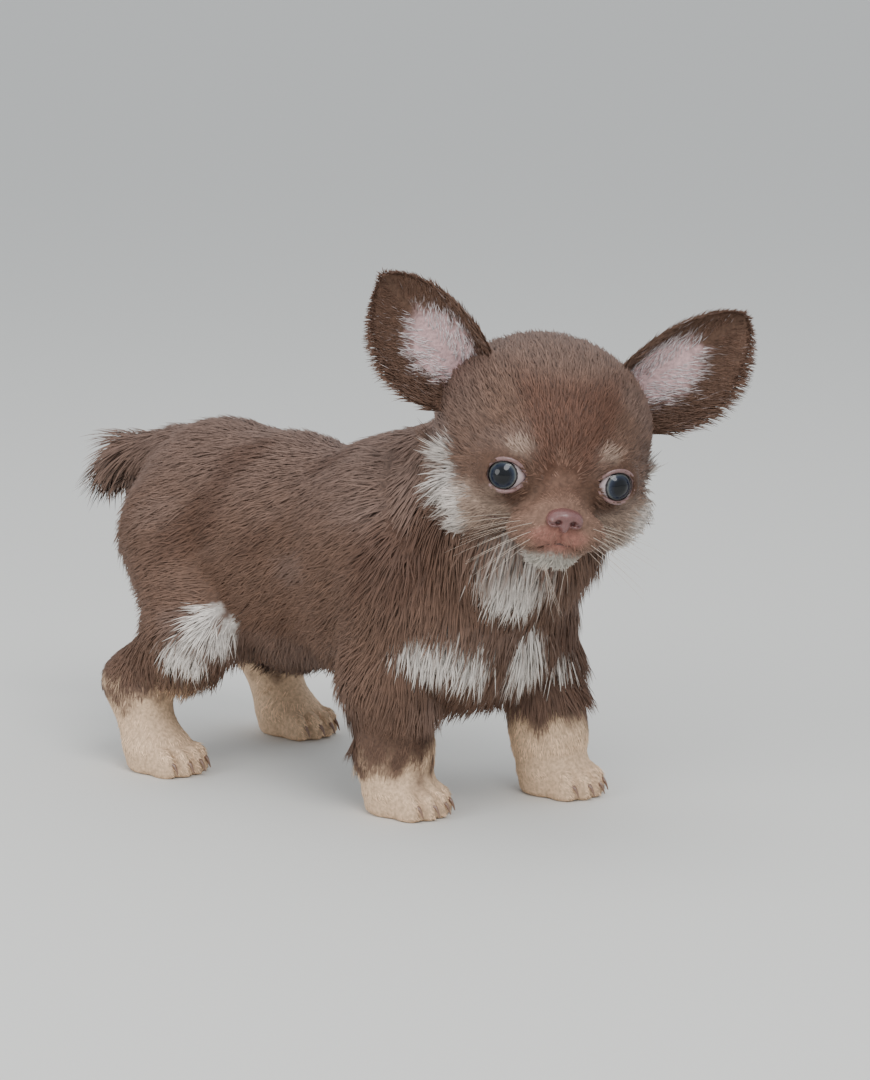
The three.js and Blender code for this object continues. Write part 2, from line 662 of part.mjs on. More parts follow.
const neckBlank = meshField(coreField, [-46, -118, 52], [50, -16, 152], 7.5);
const legCutters = LEGS.map((leg) => legRegion(leg, GAP));
const freeOfLegs = (solid) => legCutters.reduce((left, cut) => left.subtract(cut), solid);
cores.set("neck", largest(
  freeOfLegs(neckBlank.subtract(headClear).intersect(past(neckPlane, GAP / 2)))));
const torsoBlank = meshField(coreField, [-56, -108, 22], [56, 100, 132], 8.4);
cores.set("torso", largest(freeOfLegs(
  torsoBlank.intersect(before(neckPlane, GAP / 2)).intersect(before(tailPlane, GAP / 2)))));
const tailBlank = meshField(coreField, [-22, 76, 74], [22, 136, 122], 4);
cores.set("tail", largest(tailBlank.intersect(past(tailPlane, GAP / 2))));
for (const leg of LEGS) {
  const [x, y] = leg.foot;
  const paw = leg.name.replace(/leg/, "paw");
  const wrist = { point: [x, y, WRIST], normal: [0, 0, 1] };
  const region = legRegion(leg, 0);
  const upper = meshField(coreField, [x - 34, y - 52, 8], [x + 34, y + 62, 112], 6);
  cores.set(leg.name, largest(upper.intersect(region).intersect(past(wrist, GAP / 2))));
  const lower = meshField(coreField, [x - 22, y - 26, -4.2], [x + 22, y + 30, WRIST + 7], 4.4);
  cores.set(paw, largest(lower.intersect(region).intersect(before(wrist, GAP / 2))
    .intersect(halfSpace([0, 0, 0], [0, 0, 1]))));
}

const LONG_HAIRED = ["head", "neck", "torso", "tail", ...LEGS.map((leg) => leg.name)];
const nodes = new Map(cores);
LONG_HAIRED.forEach((name, i) => {
  const others = [...nodes].filter(([other]) => other !== name).map(([, solid]) => solid);
  const kinds = name === "head" ? HEAD_COAT : BODY_COAT;
  nodes.set(name, coveredWithLocks(cores.get(name), kinds, others, 11 + i));
});

// Colours of the coat and the bare parts
const CHOCOLATE = { color: 0x5c4337, roughness: 0.85 };
const TAN = { color: 0xd0b08c, roughness: 0.85 };
const LEATHER = { color: 0x6f4a45, roughness: 0.45 };
const EYE = { color: 0x2b3442, roughness: 0.08 };
function materialOf(name) {
  if (name.startsWith("eye")) return new THREE.MeshStandardMaterial(EYE);
  if (name === "nose") return new THREE.MeshStandardMaterial(LEATHER);
  if (name.includes("paw")) return new THREE.MeshStandardMaterial(TAN);
  return new THREE.MeshStandardMaterial(CHOCOLATE);
}

const puppy = new THREE.Group();
for (const [name, solid] of nodes) {
  const mesh = new THREE.Mesh(geometryOf(solid), materialOf(name));
  mesh.name = name;
  puppy.add(mesh);
}
const bounds = new THREE.Box3().setFromObject(puppy);
const middle = bounds.getCenter(new THREE.Vector3());
puppy.position.set(-middle.x, -middle.y, 0);

export default puppy;
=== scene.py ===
"""A long-haired chihuahua puppy, standing: skin, coat, eyes, nose and whiskers.

The body is worked out in millimetres in the puppy's own axes, with the puppy facing -Y
and its left side at +X, and is brought into the frame's metres as each mesh is made.
"""
import math
import bpy
import numpy as np
from mathutils import Matrix, Vector


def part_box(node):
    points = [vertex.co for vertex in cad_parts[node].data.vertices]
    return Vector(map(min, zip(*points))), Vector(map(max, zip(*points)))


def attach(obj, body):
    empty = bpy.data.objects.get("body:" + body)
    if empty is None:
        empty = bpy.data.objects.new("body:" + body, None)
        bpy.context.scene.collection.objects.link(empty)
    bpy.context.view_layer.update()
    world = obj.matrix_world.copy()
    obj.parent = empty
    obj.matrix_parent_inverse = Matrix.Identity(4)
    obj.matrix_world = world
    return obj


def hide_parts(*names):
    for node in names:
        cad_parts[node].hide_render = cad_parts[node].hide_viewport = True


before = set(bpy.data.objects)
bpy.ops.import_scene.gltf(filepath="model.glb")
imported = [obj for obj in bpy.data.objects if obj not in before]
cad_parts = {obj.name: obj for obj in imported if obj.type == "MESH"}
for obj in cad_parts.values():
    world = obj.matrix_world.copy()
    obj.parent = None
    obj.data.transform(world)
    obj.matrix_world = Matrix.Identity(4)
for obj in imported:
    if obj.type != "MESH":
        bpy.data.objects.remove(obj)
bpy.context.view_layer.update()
dice = np.random.default_rng(11)

# Driving sizes, in millimetres, the same as the solids'
WITHERS = 119.0
BELLY = 34.0
HEAD_WIDTH = 76.0
EYE_SPACING = 34.0
EYE_RADIUS = 7.6
EAR_LENGTH = 41.0
EAR_WIDTH = 32.0
FORE_FOOT = {-1: (-24.0, -50.0), 1: (30.0, -70.0)}
HIND_FOOT = {-1: (-37.0, 50.0), 1: (32.0, 55.0)}
HEAD_CENTRE = np.array([-2.6, -91.2, 120.2])
HEAD_TURN = math.radians(37)
HEAD_LEAN = math.radians(7.5)
TAIL_ROOT = (0, 76, 103)
TAIL_BEND = (0, 102, 101)
TAIL_TIP = (0, 124, 92)
EYE_PLACE = np.array([EYE_SPACING / 2 - 0.7, 22.6, -5.0])
NOSE_PLACE = np.array([0, 38.9, -15.0])
LIPS_MIDDLE = np.array([0, 34, -20])
TORSO_MIDDLE = (WITHERS + BELLY) / 2
TORSO_HALF_HEIGHT = (WITHERS - BELLY) / 2

# The head's own axes: x to its left, y along the muzzle, z up
head_forward = np.array([-math.sin(HEAD_TURN), -math.cos(HEAD_TURN), 0.0])
level_left = np.array([math.cos(HEAD_TURN), -math.sin(HEAD_TURN), 0.0])
head_left = level_left * math.cos(HEAD_LEAN) + np.array([0, 0, -math.sin(HEAD_LEAN)])
head_up = np.cross(head_forward, head_left)
HEAD_AXES = np.array([head_left, head_forward, head_up])


def to_head(p):
    return (p - HEAD_CENTRE) @ HEAD_AXES.T


def from_head(q):
    return np.asarray(q) @ HEAD_AXES + HEAD_CENTRE


def turn_from_head(v):
    return np.asarray(v) @ HEAD_AXES


def smooth(v, low, high):
    t = np.clip((v - low) / (high - low), 0, 1)
    return t * t * (3 - 2 * t)


def unit(v):
    return v / (np.linalg.norm(v, axis=-1, keepdims=True) + 1e-9)


# Fields: negative inside, in millimetres
def ball(p, centre, radii):
    radii = np.asarray(radii, float)
    q = (p - np.asarray(centre, float)) / radii
    k = np.sqrt((q * q).sum(1))
    return k * (k - 1) / (np.sqrt(((q / radii) ** 2).sum(1)) + 1e-9)


def cone(p, a, b, ra, rb):
    a, b = np.asarray(a, float), np.asarray(b, float)
    ab = b - a
    t = np.clip((p - a) @ ab / (ab @ ab), 0, 1)
    return np.linalg.norm(p - (a + t[:, None] * ab), axis=1) - (ra + (rb - ra) * t)


def join(a, b, k):
    h = np.maximum(k - np.abs(a - b), 0) / k
    return np.minimum(a, b) - h * h * k / 4


def join_all(values, k):
    made = values[0]
    for value in values[1:]:
        made = join(made, value, k)
    return made


def mirrored(q):
    return np.column_stack([np.abs(q[:, 0]), q[:, 1], q[:, 2]])


def head_field(q):
    m = mirrored(q)
    skull = join_all([
        ball(m, [0, -4, 6], [HEAD_WIDTH * 0.46, 35, 31]),
        ball(m, [0, 11, 11], [26, 19, 20]),
        ball(m, [HEAD_WIDTH * 0.25, 2, -13], [18, 21, 16]),
    ], 9)
    muzzle = join_all([
        cone(m, [0, 16, -14], [0, 30.5, -16], 12.5, 9),
        ball(m, [6.8, 31, -20], [8.8, 8.4, 6.8]),
        ball(m, [0, 26, -26], [10.5, 9.6, 6]),
    ], 3.5)
    brow = ball(m, [14, 21.5, 5.5], [8.5, 6.5, 4.5])
    lid = ball(m, EYE_PLACE, [EYE_RADIUS + 2.2, EYE_RADIUS + 1.5, EYE_RADIUS + 1.8])
    return join(join(join(skull, muzzle, 7), brow, 5), lid, 3.2)


def chain(p, points, k):
    made = None
    for a, b in zip(points, points[1:]):
        piece = cone(p, a[:3], b[:3], a[3], b[3])
        made = piece if made is None else join(made, piece, k)
    return made


def fore_leg(s):
    x, y = FORE_FOOT[s]
    return [
        (s * 20, y * 0.5 - 26, 74, 22),
        (x * 0.5 + s * 14, y * 0.75 - 10, 46, 17),
        (x, y + 3, 20, 12.3),
        (x, y + 2, 10, 11.8),
    ]


def hind_leg(s):
    x, y = HIND_FOOT[s]
    return [
        (s * 15, 58, 78, 24),
        (x * 0.6 + s * 8, y - 12, 50, 17),
        (x, y + 12, 30, 11),
        (x, y + 5, 11, 10.8),
    ]


TOES = (-7.6, -2.6, 2.6, 7.6)


def toe_place(x, y, across):
    return [x + across, y - 9.2 - 2.6 * (abs(across) < 4), 4.6]


def paw_field(p, foot):
    x, y = foot
    parts = [ball(p, [x, y, 6], [12.2, 12.6, 9.8])]
    parts += [ball(p, toe_place(x, y, across), [3.6, 6.2, 6.2]) for across in TOES]
    return join_all(parts, 1.6)


LEGS = [(fore_leg(s), FORE_FOOT[s]) for s in (-1, 1)]
LEGS += [(hind_leg(s), HIND_FOOT[s]) for s in (-1, 1)]
NECK_BASE = np.array([0, -40, 90.0])
NECK_TOP = HEAD_CENTRE + head_forward * -14


def body_field(p):
    torso = join_all([
        ball(p, [0, -28, TORSO_MIDDLE], [37, 46, TORSO_HALF_HEIGHT]),
        ball(p, [0, 22, TORSO_MIDDLE - 1], [35, 52, TORSO_HALF_HEIGHT - 1]),
        ball(p, [0, 54, TORSO_MIDDLE + 5], [32, 34, TORSO_HALF_HEIGHT - 5.5]),
    ], 10)
    neck = join_all([
        cone(p, NECK_BASE, NECK_TOP, 31, 25),
        ball(p, [2, -79, 97], [34, 28, 30]),
        ball(p, [2, -60, 73], [39, 31, 39]),
    ], 12)
    tail = join(cone(p, TAIL_ROOT, TAIL_BEND, 11, 8), cone(p, TAIL_BEND, TAIL_TIP, 8, 3.5), 5)
    made = join(join(torso, neck, 14), tail, 9)
    for points, foot in LEGS:
        made = join(made, join(chain(p, points, 7), paw_field(p, foot), 5), 8)
    return np.maximum(made, -p[:, 2])


# Where the coat is long, and how deep it is over the skin
LONG_DEPTH = {"ruff": 8, "cheek": 8, "bib": 9, "breech": 7, "tail": 6, "belly": 6, "elbow": 5}


def long_coat(p):
    q = to_head(p)
    near_head = smooth(np.linalg.norm(q, axis=1), 62, 50)
    x, y, z = p.T
    return {
        "ruff": near_head * smooth(q[:, 1], 14, -4) * smooth(q[:, 2], 4, -12),
        "cheek": near_head * smooth(np.abs(q[:, 0]), 22, 29)
        * smooth(q[:, 2], 2, -8) * smooth(q[:, 1], 22, 8),
        "bib": smooth(y, -50, -66) * smooth(z, 30, 44) * smooth(z, 112, 96),
        "breech": smooth(y, 66, 80) * smooth(z, 20, 30) * smooth(z, 104, 92),
        "tail": smooth(y, 88, 97),
        "belly": smooth(z, 50, 40) * smooth(z, 20, 28) * smooth(np.abs(y), 44, 34),
        "elbow": smooth(y, -44, -30) * smooth(y, -10, -22)
        * smooth(z, 58, 48) * smooth(z, 12, 20),
    }


def body_depth(p):
    """How far the skin lies inside the coat's surface over the body."""
    share = long_coat(p)
    z = p[:, 2]
    deep = 1.0 + 1.6 * smooth(z, 24, 52)
    for name in ("ruff", "bib", "breech", "tail", "belly", "elbow"):
        deep = np.maximum(deep, share[name] * (LONG_DEPTH[name] / 2 + 1))
    return deep * smooth(z, 0.5, 5)


def head_depth(p):
    share = long_coat(p)
    q = to_head(p)
    near_eye = np.linalg.norm(mirrored(q) - EYE_PLACE, axis=1)
    near_lips = np.linalg.norm(q - LIPS_MIDDLE, axis=1)
    deep = 1.5 - 1.25 * smooth(near_eye, 17, 10)
    deep = np.minimum(deep, 0.3 + 1.2 * smooth(near_lips, 9, 22))
    for name in ("ruff", "cheek"):
        deep = np.maximum(deep, share[name] * (LONG_DEPTH[name] / 2 + 1))
    return deep


# The opening between the lids: half widths, half height, and how far it looks outwards
EYE_OUTER = 5.5
EYE_INNER = 6.9
EYE_HALF_HEIGHT = 4.75
EYE_OUTWARD = math.radians(17)


def eye_axes(s):
    turn = EYE_OUTWARD * s
    return (
        np.array([math.cos(turn), -math.sin(turn), 0.0]),
        np.array([math.sin(turn), math.cos(turn), 0.0]),
        np.array([0, 0, 1.0]),
    )


def lid_share(q):
    """1 at the edge of the lids, less inside the opening, and how far a point is in front."""
    across, forward, up = eye_axes(1)
    d = mirrored(q) - EYE_PLACE
    x, y, z = d @ across, d @ forward, d @ up
    u = x / np.where(x > 0, EYE_OUTER, EYE_INNER)
    height = EYE_HALF_HEIGHT * (1 - 0.45 * np.clip(-u, 0, 1.2) ** 3)
    return np.sqrt(u * u + (z / height) ** 2), y


def eye_gap(q):
    """The opening between the lids, in front of the eyeball."""
    rim, y = lid_share(q)
    return np.maximum((rim - 0.97 - 0.012 * np.clip(y - EYE_RADIUS, 0, 6)) * 4.5, 2 - y)


# A place inside the muzzle, the mouth from its middle to a corner, and its fold's share outwards
MUZZLE_INSIDE = np.array([0, 16, -17.0])
MOUTH_LINE = [
    (0, 38, -24.2), (3.5, 38, -24.8), (8, 36, -24.7),
    (12.5, 31, -23.3), (16, 25, -21.1), (18, 19, -19),
]
MOUTH_SHARE = 0.93


def head_skin(p):
    q = to_head(p)
    made = head_field(q) + head_depth(p)
    m = mirrored(q)
    # the mouth: a shallow fold along the lips and up to the nose
    points = [MUZZLE_INSIDE + (np.array(c) - MUZZLE_INSIDE) * MOUTH_SHARE for c in MOUTH_LINE]
    for a, b in zip(points, points[1:]):
        made = -join(-made, cone(m, a, b, 0.5, 0.5), 0.8)
    made = -join(-made, cone(m, [0, 40, -18], [0, 36.5, -23.4], 0.55, 0.7), 0.6)
    # the socket of the eyeball and the opening of the lids
    d = m - EYE_PLACE
    made = np.maximum(made, -(np.linalg.norm(d, axis=1) - EYE_RADIUS - 0.15))
    return np.maximum(made, -eye_gap(q))


def body_skin(p):
    return body_field(p) + body_depth(p)


def slope(field, p, e=0.35):
    made = np.empty_like(p)
    for i in range(3):
        d = np.zeros(3)
        d[i] = e
        made[:, i] = field(p + d) - field(p - d)
    return unit(made)


def in_chunks(field, p, size=400000):
    return np.concatenate([field(p[i:i + size]) for i in range(0, len(p), size)])


def surface_of(field, low, high, cell, settle=2):
    """Quads on the surface where a field is zero, from a grid of cubes."""
    low, high = np.array(low, float), np.array(high, float)
    n = np.ceil((high - low) / cell).astype(int) + 1
    ticks = [low[i] + cell * np.arange(n[i]) for i in range(3)]
    grid = np.stack(np.meshgrid(*ticks, indexing="ij"), -1).reshape(-1, 3)
    values = in_chunks(field, grid).reshape(n)
    values[values == 0] = 1e-6
    size = n - 1
    count = np.zeros(size)
    total = np.zeros((*size, 3))

    def corner(offset):
        return values[tuple(slice(o, o + size[i]) for i, o in enumerate(offset))]

    corners = [(i, j, k) for i in (0, 1) for j in (0, 1) for k in (0, 1)]
    for a in corners:
        for axis in range(3):
            if a[axis]:
                continue
            b = list(a)
            b[axis] = 1
            va, vb = corner(a), corner(b)
            cross = (va < 0) != (vb < 0)
            t = np.where(cross, va / np.where(cross, va - vb, 1), 0)
            count += cross
            for i in range(3):
                total[..., i] += cross * (a[i] + (t if i == axis else 0))
    active = count > 0
    index = np.full(size, -1)
    index[active] = np.arange(active.sum())
    cells = np.argwhere(active)
    p = low + cell * (cells + total[active] / count[active][:, None])
    for _ in range(settle):
        p = p - slope(field, p) * np.clip(field(p), -cell / 3, cell / 3)[:, None]
    quads = []
    for axis in range(3):
        u, w = (axis + 1) % 3, (axis + 2) % 3
        inner = [slice(1, n[i] - 1) for i in range(3)]
        inner[axis] = slice(0, n[axis] - 1)
        ahead = list(inner)
        ahead[axis] = slice(1, n[axis])
        a, b = values[tuple(inner)], values[tuple(ahead)]
        where = np.argwhere((a < 0) != (b < 0)) + [s.start for s in inner]
        outward = values[tuple(where.T)] < 0
        ring = []
        for du, dw in ((0, 0), (1, 0), (1, 1), (0, 1)):
            at = where.copy()
            at[:, u] -= du
            at[:, w] -= dw
            ring.append(index[tuple(at.T)])
        ring = np.stack(ring, 1)
        ring[~outward] = ring[~outward][:, ::-1]
        quads.append(ring)
    return p, np.concatenate(quads)


# From the puppy's millimetres to the frame's metres
low_eye, high_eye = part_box("eye_left")
eye_in_frame = np.array((low_eye + high_eye) / 2) * 1000
SHIFT = eye_in_frame - from_head(EYE_PLACE)
SHIFT[2] = 0


def placed(p):
    return (np.asarray(p) + SHIFT) / 1000


# Soft noise, for patches with uneven edges
def ripple(p, size, seed):
    """Uneven values from about -1 to 1, in patches of that size."""
    source = np.random.default_rng(seed)
    made = np.zeros(len(p))
    for _ in range(5):
        way = unit(source.normal(size=3)) * (2 * math.pi / size) * source.uniform(0.6, 1.5)
        made += np.sin(p @ way + source.uniform(0, 6.3))
    return made / 2.6


def srgb(*parts):
    v = np.array(parts) / 255
    return np.where(v <= 0.04045, v / 12.92, ((v + 0.055) / 1.055) ** 2.4)


CHOCOLATE = srgb(103, 78, 64)
DARK_CHOCOLATE = srgb(78, 53, 40)
GREY_CHOCOLATE = srgb(118, 97, 87)
RED_CHOCOLATE = srgb(90, 60, 46)
WHITE = srgb(214, 206, 198)
CREAM = srgb(196, 172, 154)
TAN = srgb(236, 201, 166)
MUZZLE_TAN = srgb(136, 106, 90)
LIP_PINK = srgb(148, 100, 89)
GREY_WHITE = srgb(182, 176, 166)

# The bare pink of the lips: middle and half sizes, in the head's axes
LIP_PLACE = [-1.5, 38, -21.4]
LIP_SIZES = [8.2, 6, 4.2]

# Marks of the face, from the cheeks and brows to the muzzle, its bridge, the lips, the chin and
# the throat: colour, share, on both sides or not, middle, half sizes, softness, raggedness, seed
FACE_MARKS = [
    (CREAM, 0.42, True, [21, 21, -17], [9, 11, 9], 0.9, 0.3, 22),
    (CREAM, 0.34, True, [12.8, 29, 3.4], [4.4, 6, 2.1], 1.1, 0.35, 23),
    (MUZZLE_TAN, 0.85, False, [0, 35, -18], [16, 11, 9], 0.8, 0.2, 24),
    (MUZZLE_TAN, 0.5, False, [0, 32, -7], [5, 8, 8], 0.9, 0.2, 27),
    (LIP_PINK, 0.5, False, LIP_PLACE, LIP_SIZES, 0.9, 0.2, 25),
    (GREY_WHITE, 0.9, False, [0, 29, -30], [10, 10, 4.6], 0.5, 0.1, 26),
    (WHITE, 0.8, False, [-4, 17, -33], [13, 15, 7.5], 0.7, 0.25, 28),
]

# White patches of the body, those of the chest and throat first: middle and half sizes
WHITE_PATCHES = [
    ([-30.5, -70, 63], [8.5, 9, 6.5]),
    ([-19, -80, 60], [5.5, 9, 5.5]),
    ([1, -86, 58], [6, 9, 9]),
    ([25, -83, 53], [7, 9, 4]),
    ([-15, -98, 88], [8.5, 12, 13]),
    ([-29, -88, 98], [10, 9, 9]),
    ([-38, 22, 55], [8.5, 6.5, 6.5]),
    ([-43, 30, 46], [6.5, 6, 6.5]),
]
CHEST_PATCHES = 6
PATCH_SOFTNESS = 0.5
PATCH_RAGGEDNESS = 0.3
PATCH_SEED = 31
FORE_TAN_HEIGHT = 15
HIND_TAN_HEIGHT = 24


def spot(p, centre, radii, soft=0.35, ragged=0.18, seed=3):
    """How much of a ragged patch covers each point, from 0 to 1."""
    d = np.sqrt((((p - np.asarray(centre)) / np.asarray(radii)) ** 2).sum(1))
    return smooth(d + ragged * ripple(p, 7, seed), 1 + soft / 2, 1 - soft / 2)


def mixed(base, colour, share):
    share = np.clip(share, 0, 1)[:, None]
    return base * (1 - share) + colour * share


def patch_shares(p, count):
    """How much each of the first white patches of the body covers each point."""
    return [spot(p, centre, radii, PATCH_SOFTNESS, PATCH_RAGGEDNESS, PATCH_SEED + i)
            for i, (centre, radii) in enumerate(WHITE_PATCHES[:count])]


def coat_colours(p):
    """The colour of the coat at points of the skin, with painted shade at the sides of the neck."""
    q = to_head(p)
    m = mirrored(q)
    x, y, z = p.T
    on_head = head_field(q) < 6
    made = np.tile(CHOCOLATE, (len(p), 1))
    made = mixed(made, GREY_CHOCOLATE, 0.75 * smooth(z, 84, 116) * (y > -60))
    made = mixed(made, DARK_CHOCOLATE, 0.55 * smooth(ripple(p, 34, 5), 0.15, 0.9))
    made = mixed(made, GREY_CHOCOLATE, 0.45 * smooth(ripple(p, 26, 8), 0.3, 1.1))
    # painted shade: the sides of the neck, under the head, are darkened
    neck_painted_shade = spot(mirrored(p), [40, -62, 98], [13, 18, 24], 0.9, 0.3, 29)
    made = mixed(made, DARK_CHOCOLATE, 0.5 * neck_painted_shade)
    # head: greyer crown and temples, reddish wedge from the stop to the forehead
    crown = on_head * smooth(q[:, 2], 12, 32)
    made = mixed(made, GREY_CHOCOLATE, 0.5 * crown)
    temple = on_head * smooth(m[:, 0], 18, 30) * smooth(q[:, 2], -2, 12)
    made = mixed(made, GREY_CHOCOLATE, 0.7 * temple)
    wedge = on_head * (q[:, 1] > 8) * smooth(m[:, 0] - 0.36 * (q[:, 2] + 8), 9, 2)
    made = mixed(made, RED_CHOCOLATE, 0.85 * wedge * smooth(q[:, 2], 30, 18))
    for colour, share, both_sides, middle, sizes, softness, raggedness, seed in FACE_MARKS:
        mark = spot(m if both_sides else q, middle, sizes, softness, raggedness, seed)
        made = mixed(made, colour, on_head * share * mark)
    # white band behind the cheeks, and dark rims round the eyes
    band = cone(m, [33, 9, -2], [31, 15, -15], 4.2, 6.0)
    band = np.minimum(band, cone(m, [31, 15, -15], [27, 14, -27], 6.0, 6.5))
    band = smooth(band + 1.6 * ripple(p, 8, 21), 2.2, -2.2)
    made = mixed(made, WHITE, on_head * 0.75 * band)
    dark_rim = smooth(np.linalg.norm(m - EYE_PLACE, axis=1), 10.6, 9.0)
    made = mixed(made, DARK_CHOCOLATE, on_head * 0.45 * dark_rim)
    # chest, throat and thigh
    for patch in patch_shares(p, len(WHITE_PATCHES)):
        made = mixed(made, WHITE, ~on_head * patch)
    # tan and cream lower legs, higher on the inner side of a foreleg and in front of a hock
    for s in (-1, 1):
        (fx, fy), (hx, hy) = FORE_FOOT[s], HIND_FOOT[s]
        inner = 10 * smooth((x - fx) * -s, 2, 10) + 14 * smooth(fy - y, 2, 12) * (s > 0)
        rise = FORE_TAN_HEIGHT + 5 * ripple(p, 9, 41) + inner
        fore = smooth(np.hypot(x - fx, y - fy), 27, 21) * smooth(z, rise + 7, rise - 6)
        made = mixed(made, TAN, fore)
        front = 9 * smooth(hy - y, -4, 9)
        rise = HIND_TAN_HEIGHT + 5 * ripple(p, 9, 43) + front
        hind = smooth(np.hypot(x - hx, y - hy - 4), 30, 24) * smooth(z, rise + 7, rise - 6)
        made = mixed(made, TAN, hind)
    return made


# Tufts: shares of the width at their rings, bends along them, and the depth of their roots
TUFT_WIDTHS = (0.75, 1.0, 0.62)
TUFT_RIDGE = 0.7
SHORT_BENDS = (0.5,)
LONG_BENDS = (0.4, 0.75)
ROOT_DEPTH = 0.5
TUFT_UV_HALF_WIDTH = 0.0012
TUFT_UV_HALF_LENGTH = 0.0014

# The way the coat lies on the trunk, legs, paws and breech
TRUNK_WAY = np.array([0, 0.86, -0.42])
LEG_WAY = np.array([0, 0.18, -1.0])
PAW_WAY = np.array([0, -0.9, -0.5])
BREECH_WAY = np.array([0, 0.3, -1.0])
TAIL_SAG = np.array([0, 0, -0.45])
MUZZLE_WHORL = np.array([0, 40, -14])


def coat_lie(p, n, on_head, share):
    """The way the coat lies along the skin, away from the nose and back over the body."""
    x, y, z = p.T
    if on_head:
        q = to_head(p)
        away = unit(q - MUZZLE_WHORL)
        away[:, 2] -= 0.35 * smooth(q[:, 2], 6, -10)
        away[:, 0] += 0.25 * np.sign(q[:, 0]) * smooth(q[:, 2], 6, -10)
        lie = turn_from_head(away)
    else:
        lie = np.tile(TRUNK_WAY, (len(p), 1))
        lie[:, 0] += 0.12 * np.sign(x)
        lie = mixed(lie, LEG_WAY, smooth(z, 62, 40))
        down = np.column_stack([0.25 * np.sign(x), np.full(len(p), 0.1), np.full(len(p), -1.0)])
        lie = mixed(lie, down, smooth(y, -40, -62))
        lie = mixed(lie, PAW_WAY, smooth(z, 14, 7))
        along = unit(np.array(TAIL_TIP, float) - np.array(TAIL_BEND, float))
        lie = mixed(lie, along + TAIL_SAG, share["tail"])
        lie = mixed(lie, BREECH_WAY, share["breech"])
    lie = lie - n * (lie * n).sum(1)[:, None]
    return unit(lie)


def tufts(bends, p, n, lie, length, width, rise, droop, curl, colour, tip_colour, uv):
    """Tapered locks: a root, a ring at each bend and a tip. Returns their arrays."""
    count = len(p)
    side = np.cross(n, lie)
    swing = (dice.normal(0, 1, count) * curl)[:, None]
    lie = unit(lie + side * swing)
    side = np.cross(n, lie)
    at = p - n * ROOT_DEPTH
    steps = (0.0, *bends, 1.0)
    rings = []
    for i, share in enumerate(steps):
        if i:
            angle = rise * (1.0 - 0.75 * (share - 0.2))
            way = lie * np.cos(angle)[:, None] + n * np.sin(angle)[:, None]
            way = unit(way + np.array([0, 0, -1.0]) * (droop * share)[:, None])
            at = at + way * (length * (share - steps[i - 1]))[:, None]
        rings.append(at)
    circles = len(steps) - 1
    each = 3 * circles + 1
    verts = np.empty((count, each, 3))
    for i in range(circles):
        half = (width * TUFT_WIDTHS[i] / 2)[:, None]
        verts[:, 3 * i] = rings[i] - side * half
        verts[:, 3 * i + 1] = rings[i] + side * half
        verts[:, 3 * i + 2] = rings[i] + n * half * TUFT_RIDGE
    verts[:, -1] = rings[-1]
    faces = [(0, 2, 1)]
    for i in range(0, 3 * (circles - 1), 3):
        for a, b in ((0, 1), (1, 2), (2, 0)):
            faces += [(i + a, i + b, i + b + 3), (i + a, i + b + 3, i + a + 3)]
    last = 3 * (circles - 1)
    faces += [(last + i, last + (i + 1) % 3, each - 1) for i in range(3)]
    all_faces = np.array(faces)[None] + (np.arange(count) * each)[:, None, None]
    lean = np.empty((count, each, 3))
    for k in range(each):
        sideways = (-0.45, 0.45, 0)[k % 3] if k < each - 1 else 0
        lean[:, k] = n + side * sideways + lie * (0.35 * min(1, k / (each - 1)))
    lean = unit(lean)
    share = np.array([steps[k // 3] for k in range(each - 1)] + [1.0])
    shade = np.empty((count, each, 4))
    fade = share[None, :, None]
    shade[..., :3] = colour[:, None] * (1 - fade) + tip_colour[:, None] * fade
    shade[..., 3] = 1
    across = np.array([(-1, 1, 0)[k % 3] for k in range(each - 1)] + [0]) * TUFT_UV_HALF_WIDTH
    patch = uv[:, None] + np.stack([across, (share * 2 - 1) * TUFT_UV_HALF_LENGTH], -1)[None]
    return (verts.reshape(-1, 3), all_faces.reshape(-1, 3), shade.reshape(-1, 4),
            patch.reshape(-1, 2), lean.reshape(-1, 3))


# Meshes
def new_piece(name, verts, faces, material, colours=None, vertex_uv=None):
    """An object of triangles or quads in millimetres, with a colour and a map at its points."""
    mesh = bpy.data.meshes.new(name)
    corners = faces.shape[1]
    mesh.vertices.add(len(verts))
    mesh.vertices.foreach_set("co", placed(verts).astype(np.float32).ravel())
    mesh.loops.add(faces.size)
    mesh.loops.foreach_set("vertex_index", faces.astype(np.int32).ravel())
    mesh.polygons.add(len(faces))
    mesh.polygons.foreach_set("loop_start", np.arange(len(faces), dtype=np.int32) * corners)
    mesh.update(calc_edges=True)
    mesh.polygons.foreach_set("use_smooth", np.ones(len(faces), bool))
    if colours is not None:
        layer = mesh.color_attributes.new("coat_colour", "FLOAT_COLOR", "POINT")
        layer.data.foreach_set("color", colours.astype(np.float32).ravel())
    if vertex_uv is not None:
        layer = mesh.uv_layers.new(name="OFBake")
        layer.data.foreach_set("uv", vertex_uv[faces.ravel()].astype(np.float32).ravel())
    mesh.materials.append(material)
    piece = bpy.data.objects.new(name, mesh)
    bpy.context.scene.collection.objects.link(piece)
    return piece


# Materials
def material_with(name):
    made = bpy.data.materials.new(name)
    made.use_nodes = True
    nodes = made.node_tree.nodes
    return made, nodes, made.node_tree.links, nodes["Principled BSDF"]


def add_sockets(tree, sockets):
    for name, way, kind in sockets:
        tree.interface.new_socket(name=name, in_out=way, socket_type="NodeSocket" + kind)
    return tree.nodes.new("NodeGroupInput"), tree.nodes.new("NodeGroupOutput")


def set_inputs(node, values):
    for name, value in values.items():
        node.inputs[name].default_value = value


